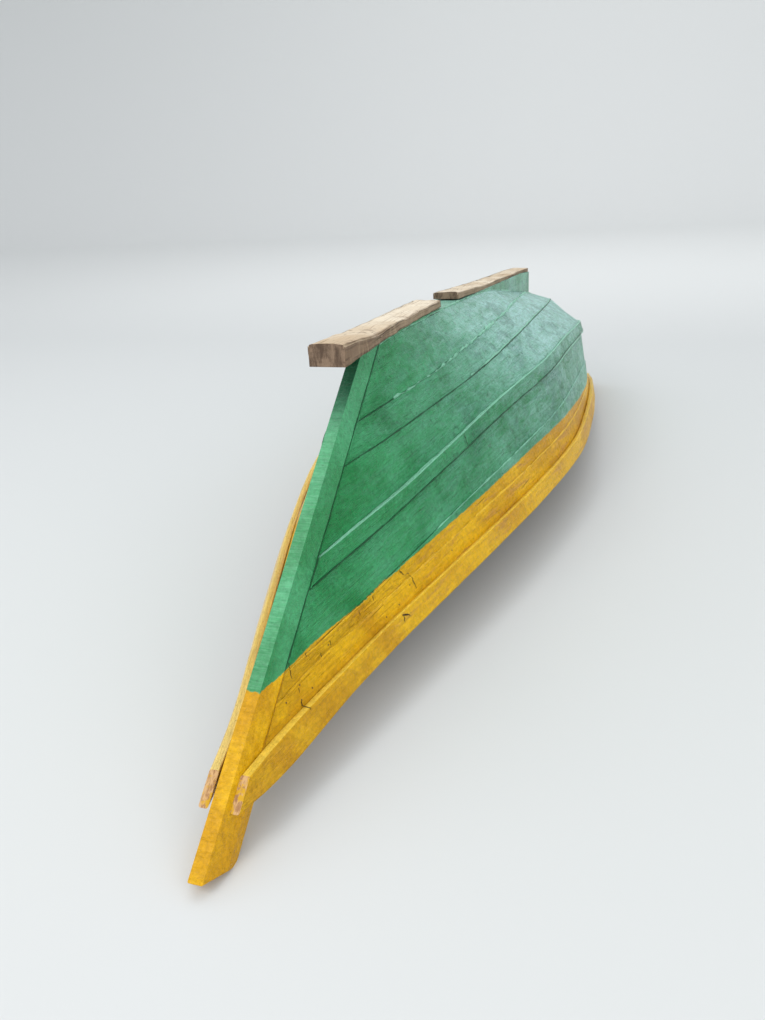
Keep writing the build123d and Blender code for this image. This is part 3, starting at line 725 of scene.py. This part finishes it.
# %% Rings of a board
def board_rings(curves, radius, rows, dip, seed):
    """Rings of points round a long board, from its four corner curves.

    A point of the section lies a share s down the width and d through the thickness, and is the
    mean of the four corners weighted by them. A slow and a quick wave sink the outer face."""
    top_out, foot_out, foot_in, top_in = curves
    width = np.linalg.norm(foot_out - top_out, axis=1)
    thick = np.linalg.norm(top_in - top_out, axis=1)
    mid = rounded_section(float(width.mean()), float(thick.mean()), radius, rows)
    rings = []
    for k in range(len(top_out)):
        w, t = width[k], thick[k]
        path = rounded_section(w, t, min(radius, w / 4, t / 3), rows)
        s, d = (path[:, 0] / w)[:, None], (path[:, 1] / t)[:, None]
        rings.append((1 - s) * (1 - d) * top_out[k] + s * (1 - d) * foot_out[k]
                     + s * d * foot_in[k] + (1 - s) * d * top_in[k])
    rings = np.array(rings)
    inward = foot_in + top_in - foot_out - top_out
    inward /= np.linalg.norm(inward, axis=1)[:, None]
    flat = rings.reshape(-1, 3)
    low = (wave(flat, seed, 0.5) + 1.4) * 0.35 + (wave(flat, seed + 1, 0.09) + 1.4) * 0.16
    outer = np.clip(1 - mid[:, 1] / thick.mean() * 1.5, 0, 1)
    rings += (low.reshape(rings.shape[:2]) * outer[None] * dip)[:, :, None] * inward[:, None]
    depth = np.minimum(mid[:, 1], np.roll(mid[:, 1], -1)) / thick.mean()
    upper = np.maximum(mid[:, 0], np.roll(mid[:, 0], -1)) < radius * 1.01
    kinds = np.where(depth > 0.8, INSIDE, np.where(upper, LEDGE, OUTSIDE))
    return rings, travelled(mid), travelled((top_out + foot_out) / 2), kinds


def paints_of(family, side):
    """Materials of a board: outside, inside, ends and upper ledge."""
    if family == "rail":
        # The port rail's paler paint is a painted highlight.
        face = HULL if side > 0 else RAIL_HIGHLIGHT_PAINT
        return face, face, END, face
    # The wale's upper ledge takes the pale seam tint as a painted highlight.
    return HULL, BARE, HULL, CAULK_AND_HIGHLIGHT_SEAM if family == "wale_strake" else HULL


# %% Planks and rails
curves_of, drawn = {}, []
for number, family in enumerate(BOARD_NAMES):
    for hand, side_name in enumerate(SIDES.values()):
        names = [n for n in sorted(NODES) if n.startswith(family) and n.endswith(side_name)]
        curves, side = corner_curves(names, CURVE_STEP)
        curves_of[family, side] = curves
        rows, radius = ROWS.get(family, USUAL_ROWS), EDGE.get(family, USUAL_EDGE)
        rings, across, along, kinds = board_rings(curves, radius, rows, PLANE_DIP, 10 * number + hand)
        rings[:, :, 0] *= side
        mesh = skin("finished_" + names[0], rings, across, along, kinds)
        seed = number * 1.7 + hand * 0.9
        drawn.append(put("finished_" + names[0], mesh, paints_of(family, side), names, seed))
print("planks and rails drawn", len(drawn))

# %% [markdown]
# Seams. Caulk is driven between the planks and painted over. Along some seams it stands up as a low,
# uneven ridge, and others show as a dark line. A bump in the material would do from afar, but it
# casts no shadow and is lost at the outline. So each is a thin bead, half sunk in the hull, in the
# hull's own paint with a pale or dark tint. The pale tint is partly a painted highlight where a
# proud edge catches the light, and the dark tint partly painted shade in gaps and under proud strakes.

# %% A bead along a line
BEAD_STEP, BEAD_CORNERS = 0.008, 8       # length between a bead's rings, and points round it
BEAD_FLATNESS = 0.5                      # its height as a share of its width
CAULK_FROM = 0.34                        # the stem's caulk shows above this height


def bead(name, line, radius, seed, mat, uneven):
    """A low bead along a line of points, half sunk in the hull.

    Its section is a flattened circle across the line. Its size is the radius times one plus a quick
    and a slow wave, and a third wave sways it sideways."""
    step = np.gradient(line, axis=0)
    step /= np.linalg.norm(step, axis=1)[:, None]
    out = line * (1, 0, 0) + np.array([0, 0, 0.35]) * np.abs(line[:, :1])
    out -= (out * step).sum(1)[:, None] * step
    out /= np.linalg.norm(out, axis=1)[:, None]
    other = np.cross(step, out)
    size = radius * (1 + uneven * (0.5 * wave(line, seed, 0.05) + 0.4 * wave(line, seed + 1, 0.35)))
    size = np.clip(size, radius * 0.15, radius * 1.9)
    size[[0, -1]] = radius * 0.1
    sway = (other * (radius * 0.4 * uneven * wave(line, seed + 2, 0.11))[:, None])[:, None]
    turn = np.linspace(0, 2 * math.pi, BEAD_CORNERS, endpoint=False)[None, :, None]
    section = np.cos(turn) * other[:, None] + BEAD_FLATNESS * np.sin(turn) * out[:, None]
    rings = line[:, None] + sway + size[:, None, None] * section
    mesh = skin(name, rings, np.arange(BEAD_CORNERS) * radius * 0.8, travelled(line))
    return put(name, mesh, (mat,), (), seed * 0.1)


def densely(line):
    """The same line with points a bead's step apart."""
    along = travelled(line)
    at = np.linspace(0, along[-1], max(int(along[-1] / BEAD_STEP), 3))
    return np.column_stack([np.interp(at, along, line[:, k]) for k in range(3)])


# %% Beads along the seams
# Pale beads are partly painted highlights where a proud edge catches light; dark ones partly painted shade,
# as under the wale.
# Strake whose foot the line follows, how far below it, first and last place, radius, paint, unevenness
SEAM_LINES = [
    ("garboard", 0.0, 0.95, 1.50, 0.0018, GAP_AND_SHADOW_SEAM, 0.6),
    ("garboard", 0.0, 1.42, 4.88, 0.0062, CAULK_AND_HIGHLIGHT_SEAM, 1.0),
    ("second_strake", 0.0, 0.80, 4.86, 0.0022, GAP_AND_SHADOW_SEAM, 0.8),
    ("second_strake", -0.005, 2.0, 4.86, 0.0040, CAULK_AND_HIGHLIGHT_SEAM, 1.0),
    ("third_strake", 0.001, 0.66, 4.86, 0.0024, CAULK_AND_HIGHLIGHT_SEAM, 0.5),
    ("wale_strake", 0.0, 0.62, 4.86, 0.0022, GAP_AND_SHADOW_SEAM, 0.6),
    ("wale_strake", 0.005, 2.7, 4.86, 0.0030, CAULK_AND_HIGHLIGHT_SEAM, 1.0),
    ("fifth_strake", 0.002, 1.32, 4.85, 0.0044, CAULK_AND_HIGHLIGHT_SEAM, 0.5),
    ("fifth_strake", 0.0, 0.60, 1.50, 0.0012, GAP_AND_SHADOW_SEAM, 1.0),
    ("sixth_strake", 0.001, 0.20, 1.60, 0.0050, HULL, 0.5),
    ("sixth_strake", 0.001, 1.55, 4.80, 0.0044, CAULK_AND_HIGHLIGHT_SEAM, 0.6)]
beads = []
for number, (family, below, start, end, radius, mat, uneven) in enumerate(SEAM_LINES):
    for side, side_name in SIDES.items():
        top, foot = curves_of[family, side][:2]
        line = foot + (foot - top) / np.linalg.norm(foot - top, axis=1)[:, None] * below
        line = line * (side, 1, 1)
        keep = (line[:, 1] + MIDDLE > start) & (line[:, 1] + MIDDLE < end)
        name = f"seam_{number}_{side_name}"
        beads.append(bead(name, densely(line[keep]), radius, 40 + number, mat, uneven))
for side, side_name in SIDES.items():
    line = curves_of["garboard", side][0] * (side, 1, 1)
    # The garboard's upper edge, in the pale tint: partly a painted highlight.
    beads.append(bead(f"seam_keel_{side_name}", densely(line), 0.0032, 60, CAULK_AND_HIGHLIGHT_SEAM, 1.0))
    landings = [curves_of[family, side][k][0] * (side, 1, 1) for family in STRAKES for k in (0, 1)]
    landings = densely(np.array(landings)[np.argsort([-p[2] for p in landings])])
    beads.append(bead(f"seam_stem_{side_name}", landings, 0.0022, 61, GAP_AND_SHADOW_SEAM, 0.6))
    beside = landings[landings[:, 2] > CAULK_FROM] + (side * 0.002, 0.008, 0.0)
    beads.append(bead(f"caulk_stem_{side_name}", beside, 0.0016, 62, HULL, 1.0))
print("seam beads", len(beads))

# %% [markdown]
# Other timbers. Stem, keel, transom, frames and thwarts are sawn straight, and their CAD solids
# already have the right form. Only their edges are too sharp: worn wood has a small round that
# catches the light. A Bevel modifier would round the short steps of the mesh as well, so edges are
# picked by their angle and bevelled in the mesh itself. The stem's head is worn round.

# %% Softened edges
X, Y, Z = range(3)
FLAT_ANGLE, SHARP_ANGLE = math.radians(1.2), math.radians(25)
STEM_HEAD, HEAD_ROUND = 0.05, 0.0205     # height of the stem's head edges, and their round
SKEW = 0.37                              # shifts the grain between a timber's faces


def sharp_edges(form):
    """Edges at which two faces turn by more than the sharp angle."""
    return [e for e in form.edges if len(e.link_faces) == 2 and e.calc_face_angle(0) > SHARP_ANGLE]


def rounded_edges(form, edges, width, segments, profile):
    """Bevels edges by a width, in so many steps."""
    bmesh.ops.bevel(form, geom=edges, offset=width, segments=segments, profile=profile, affect="EDGES",
                    clamp_overlap=True)


def map_grain(form, axis):
    """A UV map in metres: u runs along the grain's axis, and v over each face across it."""
    uv = form.loops.layers.uv.verify()
    others = [k for k in (X, Y, Z) if k != axis]
    for face in form.faces:
        flat = max(others, key=lambda k: abs(face.normal[k]))
        wide = others[1] if flat == others[0] else others[0]
        for loop in face.loops:
            co = loop.vert.co
            loop[uv].uv = (co[axis], co[wide] + SKEW * co[flat])


# %% A timber with softened edges
def softened(name, width, materials, grain, choose=None, head=0.0):
    """A copy of a CAD node with rounded edges and a UV map that runs along its grain.

    Choose gives a face its material number. Edges that end between half the head's height and the
    whole of it get a rounder bevel first."""
    form = bmesh.new()
    form.from_mesh(NODES[name].data)
    bmesh.ops.remove_doubles(form, verts=form.verts, dist=1e-5)
    bmesh.ops.dissolve_limit(form, angle_limit=FLAT_ANGLE, verts=form.verts, edges=form.edges)
    if head:
        low = [e for e in sharp_edges(form) if head > max(v.co.z for v in e.verts) > head / 2]
        rounded_edges(form, low, HEAD_ROUND, 6, 0.5)
    rounded_edges(form, sharp_edges(form), width, 2, 0.6)
    map_grain(form, grain)
    for face in form.faces:
        face.smooth = False
        if choose:
            face.material_index = choose(face)
    mesh = bpy.data.meshes.new("finished_" + name)
    form.to_mesh(mesh)
    form.free()
    return put("finished_" + name, mesh, materials, (name,), len(name) * 0.31 + ord(name[-1]) * 0.17)


# %% Which faces are bare
def faces_down(face):
    """1 for a face that looks down into the boat, which is bare, and 0 for a painted one."""
    return int(face.normal.z < -0.5)


def faces_forward(face):
    """1 for a face that doesn't look aft, which is bare, and 0 for a painted one."""
    return int(face.normal.y < 0.3)


# %% Other timbers
timbers = []
for name in sorted(NODES):
    if name.startswith(tuple(BOARD_NAMES)) or "shoe" in name:
        continue
    if name == "stem":
        timbers.append(softened(name, 0.004, (STEM_PAINT,), Y, head=STEM_HEAD))
    elif name in ("keel", "skeg"):
        timbers.append(softened(name, 0.004, (HULL, BARE), Y, faces_down))
    elif name == "transom":
        timbers.append(softened(name, 0.003, (HULL, BARE), X, faces_forward))
    elif name == "stern_post":
        timbers.append(softened(name, 0.003, (BARE,), Z))
    else:
        grain = X if name.startswith(("thwart", "frame", "breasthook", "quarter")) else Y
        timbers.append(softened(name, 0.003, (BARE,), grain))
print("other timbers softened", len(timbers))

# %% [markdown]
# The shoe. Two lengths of timber on the keel were squared by hand with an adze. Its strokes leave
# rows of shallow scallops, and the starboard upper edge dips where wood was missing. Sculpting
# would give such faces too, but not the same ones at every run. So each timber is a grid of rings,
# like the planks, whose points are sunk by waves as wide as the blade.

# %% Hewn faces
SHOE_STEP, END_CLEAR = 0.012, 0.0005     # length between rings, and how far the ends stay inside
CUT_DEPTH, FINE_DEPTH, SIDE_SHARE = 0.0016, 0.0006, 1.3
WORN_TOP, WORN_SIDE = 0.013, 0.005       # how far the long upper edges are worn down and in


def tree_of(*meshes):
    """A search tree over meshes, for finding points on their surface."""
    verts, faces = [], []
    for mesh in meshes:
        base = len(verts)
        verts += [v.co.copy() for v in mesh.vertices]
        faces += [[base + k for k in p.vertices] for p in mesh.polygons]
    return BVHTree.FromPolygons(verts, faces)


def squared_rings(mesh, port, starboard, ys):
    """Rings round a squared timber at places ys: over its top, down, along its foot and up again.

    A ring's height is that of the foot plus a share of the timber's depth, both found by rays."""
    shape = tree_of(mesh)
    top = np.array([shape.ray_cast(Vector((0, y, 3)), Vector((0, 0, -1)))[0].z for y in ys])[:, None]
    foot = np.array([shape.ray_cast(Vector((0, y, -3)), Vector((0, 0, 1)))[0].z for y in ys])[:, None]
    over, down = np.linspace(-1, 1, 15), np.linspace(1, 0, 8)[1:]
    back, up = over[-2::-1], down[-2::-1]
    x = np.concatenate([over * starboard, np.full_like(down, starboard),
                        back * starboard, np.full_like(up, port)])
    share = np.concatenate([np.ones_like(over), down, np.zeros_like(back), up])
    rings = np.empty((len(ys), len(x), 3))
    rings[:, :, 0], rings[:, :, 1], rings[:, :, 2] = x, ys[:, None], foot + (top - foot) * share
    return rings


# %% A timber hewn with an adze
def adzed(name, seed, dips):
    """A squared timber with hand hewn faces. Dips are (place, half length, depth) on its starboard edge.

    Top and sides are sunk by a broad and a fine wave. Near the long upper edges the square of the
    nearness is added. A dip falls off smoothly with distance along the edge and away from it."""
    low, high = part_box(name)
    ys = np.linspace(low.y + END_CLEAR, high.y - END_CLEAR, int((high.y - low.y) / SHOE_STEP))
    base = squared_rings(NODES[name].data, low.x, high.x, ys)
    rings = base.copy()
    flat = base.reshape(-1, 3)
    cuts = (wave(flat * (1, 1, 0.5), seed, 0.13, 9) + 1.6).reshape(rings.shape[:2])
    fine = (wave(flat, seed + 3, 0.035, 9) + 1.6).reshape(rings.shape[:2])
    depth = CUT_DEPTH * cuts + FINE_DEPTH * fine
    across = base[:, :, 0] / high.x
    foot, top = base[:, :, 2].min(1)[:, None], base[:, :, 2].max(1)[:, None]
    up = (base[:, :, 2] - foot) / (top - foot)
    worn_top = WORN_TOP * np.clip(np.abs(across) * 4 - 3, 0, 1) ** 2
    worn_side = WORN_SIDE * np.clip(up * 6 - 5, 0, 1) ** 2
    rings[:, :, 2] -= np.where(up > 0.99, depth + worn_top, 0)
    rings[:, :, 0] -= np.sign(across) * np.where(np.abs(across) > 0.99, depth * SIDE_SHARE + worn_side, 0)
    for place, half, deep in dips:
        fall = np.clip(1 - np.abs(ys + MIDDLE - place) / half, 0, 1)[:, None]
        fall = fall * fall * (3 - 2 * fall) * deep
        rings[:, :, 2] -= np.where(up > 0.5, fall * np.clip(across * 1.6 - 0.6, 0, 1) * up, 0)
    mesh = skin("finished_" + name, rings, travelled(base[0]), ys)
    return put("finished_" + name, mesh, (RAW,), (name,), seed * 0.37)


# %% Shoe timbers
drawn.append(adzed("fore_shoe", 5, [(1.42, 0.24, 0.014), (1.80, 0.12, 0.006)]))
drawn.append(adzed("aft_shoe", 8, [(3.3, 0.4, 0.008), (4.2, 0.3, 0.006)]))
print("shoe timbers hewn")

# %% [markdown]
# Nails and cracks. The planks are nailed to every frame. Most heads are painted over and show as low
# domes, and near the bow some are bare and rusty. The wood has split in short slivers, and the
# narrow strake's two lengths butt at the first frame. They could be bumps in the paint, but a small
# mesh keeps its edge close by. A ray cast from the side finds its place on the drawn planks.

# %% Places for small marks
NAIL_CORNERS, CRACK_ROWS = 10, 13
surface = tree_of(*[piece.data for piece in drawn])


def on_hull(side, aft, height):
    """Point and outward direction on the finished hull's side at a place and height."""
    hit = surface.ray_cast(Vector((side * 2, aft - MIDDLE, height)), Vector((-side, 0, 0)))
    return np.array(hit[0]), np.array(hit[1])


def marks(name, shapes, mat):
    """Small flat or domed marks joined in one piece. Each shape is a list of points and faces."""
    base, faces = 0, []
    for points, polygons in shapes:
        faces += [[base + k for k in polygon] for polygon in polygons]
        base += len(points)
    mesh = bpy.data.meshes.new(name)
    mesh.from_pydata(np.vstack([points for points, _ in shapes]).tolist(), [], faces)
    mesh.uv_layers.new(name="UVMap")
    return put(name, mesh, (mat,), ())


# %% A nail and a crack
def nail(side, aft, height, radius, rise):
    """A nail's head as a low dome: a top point, a ring below it and a wider one sunk in the wood.

    The wide ring is the radius times the cosine and the sine of the turn, along two directions
    across the head."""
    centre, out = on_hull(side, aft, height)
    a = np.array(Vector(out).orthogonal().normalized())
    b = np.cross(out, a)
    turn = np.linspace(0, 2 * math.pi, NAIL_CORNERS, endpoint=False)[:, None]
    wide = (np.cos(turn) * a + np.sin(turn) * b) * radius
    low = centre + out * rise * 0.8 + wide * 0.6
    points = np.vstack([centre + out * rise, low, centre - out * 0.0004 + wide])
    n = NAIL_CORNERS
    faces = [(0, 1 + k, 1 + (k + 1) % n) for k in range(n)]
    faces += [(1 + k, 1 + n + k, 1 + n + (k + 1) % n, 1 + (k + 1) % n) for k in range(n)]
    return points, faces


def gap_shadow(side, start, end, width, seed):
    """A sliver of shadow between two places (aft, height) on the hull.

    Its width grows and shrinks with the root of a half sine wave, roughened by chance."""
    rng = np.random.default_rng(seed)
    t = np.linspace(0, 1, CRACK_ROWS)
    places = np.column_stack([start[k] + (end[k] - start[k]) * t for k in (0, 1)])
    spots, out = np.array([on_hull(side, *place) for place in places.tolist()]).transpose(1, 0, 2)
    centre = spots + out * 0.0005
    across = np.cross(out, centre[-1] - centre[0])
    across /= np.linalg.norm(across, axis=1)[:, None]
    spread, sway = rng.uniform((0.6, -1), (1.1, 1), (CRACK_ROWS, 2)).T[:, :, None]
    half = across * width / 2 * (np.sin(math.pi * t)[:, None] ** 0.5 * spread + 0.05)
    middle = centre + across * width * 0.4 * sway
    points = np.stack([middle - half, middle + half], axis=1).reshape(-1, 3)
    return points, [(2 * k, 2 * k + 2, 2 * k + 3, 2 * k + 1) for k in range(CRACK_ROWS - 1)]


def heights_at(family, side, aft):
    """Heights of a strake's outer top and outer foot where its run is nearest to a place."""
    top, foot = curves_of[family, side][:2]
    k = int(np.argmin(np.abs(top[:, 1] + MIDDLE - aft)))
    return top[k][2], foot[k][2]


# %% Bare nails
# On the starboard side: place and height
SEEN_NAILS = [(0.450, 0.251), (0.549, 0.237), (0.498, 0.230), (0.516, 0.267), (0.677, 0.303), (1.092, 0.297),
              (1.006, 0.268), (1.119, 0.326), (0.930, 0.262), (1.36, 0.305)]
SEEN_RADIUS, SEEN_RISE = 0.0032, 0.0012
seen = [nail(1, aft, height, SEEN_RADIUS, SEEN_RISE) for aft, height in SEEN_NAILS]
marks("nails", seen, NAIL)
print("bare nails", len(seen))

# %% Splits and butts
# Splits on the starboard side: start, end and width
SPLITS = [((1.119, 0.324), (1.112, 0.274), 0.0040), ((1.088, 0.352), (1.098, 0.330), 0.0052),
          ((0.522, 0.335), (0.503, 0.293), 0.0034), ((0.499, 0.232), (0.484, 0.210), 0.0044),
          ((0.962, 0.258), (0.994, 0.240), 0.0060), ((0.969, 0.254), (0.958, 0.235), 0.0048),
          ((0.690, 0.312), (0.684, 0.296), 0.0032), ((0.847, 0.328), (0.843, 0.312), 0.0034),
          ((0.928, 0.338), (0.924, 0.321), 0.0030), ((0.637, 0.301), (0.631, 0.284), 0.0030),
          ((0.508, 0.264), (0.502, 0.250), 0.0028), ((0.590, 0.327), (0.585, 0.316), 0.0030),
          ((1.70, 0.383), (1.62, 0.376), 0.0020), ((0.95, 0.300), (0.86, 0.290), 0.0014),
          ((2.05, 0.330), (1.95, 0.322), 0.0018), ((1.36, 0.475), (1.28, 0.470), 0.0016)]
FRAME_PLACES = (1.73, 2.2, 2.8, 3.4, 4.0, 4.6)
WALE_BUTT, BUTT_WIDTH, BUTT_INSET = FRAME_PLACES[0], 0.0032, 0.004
# Splits and butts: dark slivers, painted shade of the narrow gaps.
marks("splits", [gap_shadow(1, *split, seed) for seed, split in enumerate(SPLITS)], GAP_SHADOW)
butts = []
for side in SIDES:
    top, foot = heights_at("wale_strake", side, WALE_BUTT)
    ends = (WALE_BUTT, top - BUTT_INSET), (WALE_BUTT, foot + BUTT_INSET)
    butts.append(gap_shadow(side, *ends, BUTT_WIDTH, 30 + side))
marks("wale_butts", butts, GAP_SHADOW)
print("splits and butts", len(SPLITS) + len(butts))

# %% Painted nails at the frames
HULL_RADIUS, HULL_RISE, NAIL_SHIFT = 0.0040, 0.0009, 0.006
NARROW = ("wale_strake", "sixth_strake")
rows = []
for side in SIDES:
    for aft in FRAME_PLACES:
        for family in STRAKES:
            top, foot = heights_at(family, side, aft)
            for share in (0.3, 0.7) if family in NARROW else (0.16, 0.5, 0.84):
                shift = NAIL_SHIFT * math.sin(37 * aft + 11 * share + side)
                rows.append(nail(side, aft + shift, top + (foot - top) * share, HULL_RADIUS, HULL_RISE))
marks("painted_nails", rows, HULL)
print("painted nails", len(rows))

# %% [markdown]
# Camera. It stands off the bow, a little to starboard of the middle line, at chest height. It could
# be aimed with a Track To constraint. Here its three axes are worked out from yaw, pitch and roll,
# because a hand held camera is never quite level.

# %% Camera
EYE = (0.956639, -1.162505 - MIDDLE, 1.604822)
YAW, PITCH, ROLL = (math.radians(a) for a in (19.5718, 23.3990, 3.7393))
FOCAL, PICTURE_HEIGHT = 790.225, 1020    # in pixels
SENSOR = 36                              # in millimetres
forward = Vector((-math.sin(YAW) * math.cos(PITCH), math.cos(YAW) * math.cos(PITCH), -math.sin(PITCH)))
level = Vector((math.cos(YAW), math.sin(YAW), 0))
down = forward.cross(level)
right = math.cos(ROLL) * level + math.sin(ROLL) * down
up = math.sin(ROLL) * level - math.cos(ROLL) * down
camera = bpy.data.objects.new("camera", bpy.data.cameras.new("camera"))
LINKED.link(camera)
camera.matrix_world = Matrix.Translation(EYE) @ Matrix((right, up, -forward)).transposed().to_4x4()
camera.data.sensor_fit = "VERTICAL"
camera.data.sensor_height = SENSOR
camera.data.lens = FOCAL / PICTURE_HEIGHT * SENSOR
camera.data.clip_end = 200
bpy.context.scene.camera = camera
print("camera lens", round(camera.data.lens, 2), "mm")

# %% [markdown]
# Floor and light. A studio has a backdrop that sweeps up from the floor, so that no edge shows
# behind what stands there. A plane and a wall would show one. Large soft lamps and a bright, even sky
# stand in for an overcast day, which shows paint in its own colour. A sun lamp would be simpler, but
# its hard shadows hide the planks' shapes.

# %% Floor
FRONT, HALF_WIDTH = -30.0, 60.0          # where the floor begins, and half its width
BEND, BEND_RADIUS, WALL_TOP = 16.0, 8.0, 30.0
turn = np.linspace(0, math.pi / 2, 24)
sweep = [(FRONT, 0.0)]
sweep += [(BEND + BEND_RADIUS * math.sin(a), BEND_RADIUS - BEND_RADIUS * math.cos(a)) for a in turn]
sweep += [(BEND + BEND_RADIUS, WALL_TOP)]
floor_mesh = bpy.data.meshes.new("floor")
floor_verts = [(x, y, z) for y, z in sweep for x in (-HALF_WIDTH, HALF_WIDTH)]
floor_faces = [(2 * k, 2 * k + 1, 2 * k + 3, 2 * k + 2) for k in range(len(sweep) - 1)]
floor_mesh.from_pydata(floor_verts, [], floor_faces)
floor_mesh.polygons.foreach_set("use_smooth", np.ones(len(floor_mesh.polygons), bool))
floor = bpy.data.objects.new("floor", floor_mesh)
LINKED.link(floor)
FLOOR, tree, shader = material("floor")
shader.inputs["Base Color"].default_value = (0.66, 0.67, 0.66, 1)
shader.inputs["Roughness"].default_value = 0.95
floor_mesh.materials.append(FLOOR)
print("floor faces", len(floor_faces))


# %% Light
def softbox(name, where, target, size, power, colour):
    """A square lamp turned towards a target. Size is its side in metres, and power is in watts."""
    light = bpy.data.lights.new(name, "AREA")
    light.size, light.energy, light.color = size, power, colour
    lamp = bpy.data.objects.new(name, light)
    lamp.location = where
    lamp.rotation_euler = (Vector(target) - Vector(where)).to_track_quat("-Z", "Y").to_euler()
    LINKED.link(lamp)


SKY_COLOUR, SKY_STRENGTH = (0.93, 0.96, 1, 1), 0.95
softbox("sky_light", (-1.5, 2.5, 9.0), (0, 0.2, 0), 9, 220, (0.95, 0.98, 1))
softbox("side_light", (6, -5, 4.5), (0, -0.5, 0.4), 4, 100, (1, 0.99, 0.96))
softbox("bow_light", (-2.6, -5.4, 5.6), (0, -1.9, 0.4), 2.5, 110, (1, 1, 1))
softbox("wall_light", (0, 6.0, 12.0), (0, 24, 9), 12, 900, (1, 1, 1))
world = bpy.data.worlds.new("sky")
world.use_nodes = True
world.node_tree.nodes["Background"].inputs[0].default_value = SKY_COLOUR
world.node_tree.nodes["Background"].inputs[1].default_value = SKY_STRENGTH
bpy.context.scene.world = world
bpy.context.scene.view_settings.view_transform = "Standard"
print("lamps", len(bpy.data.lights))
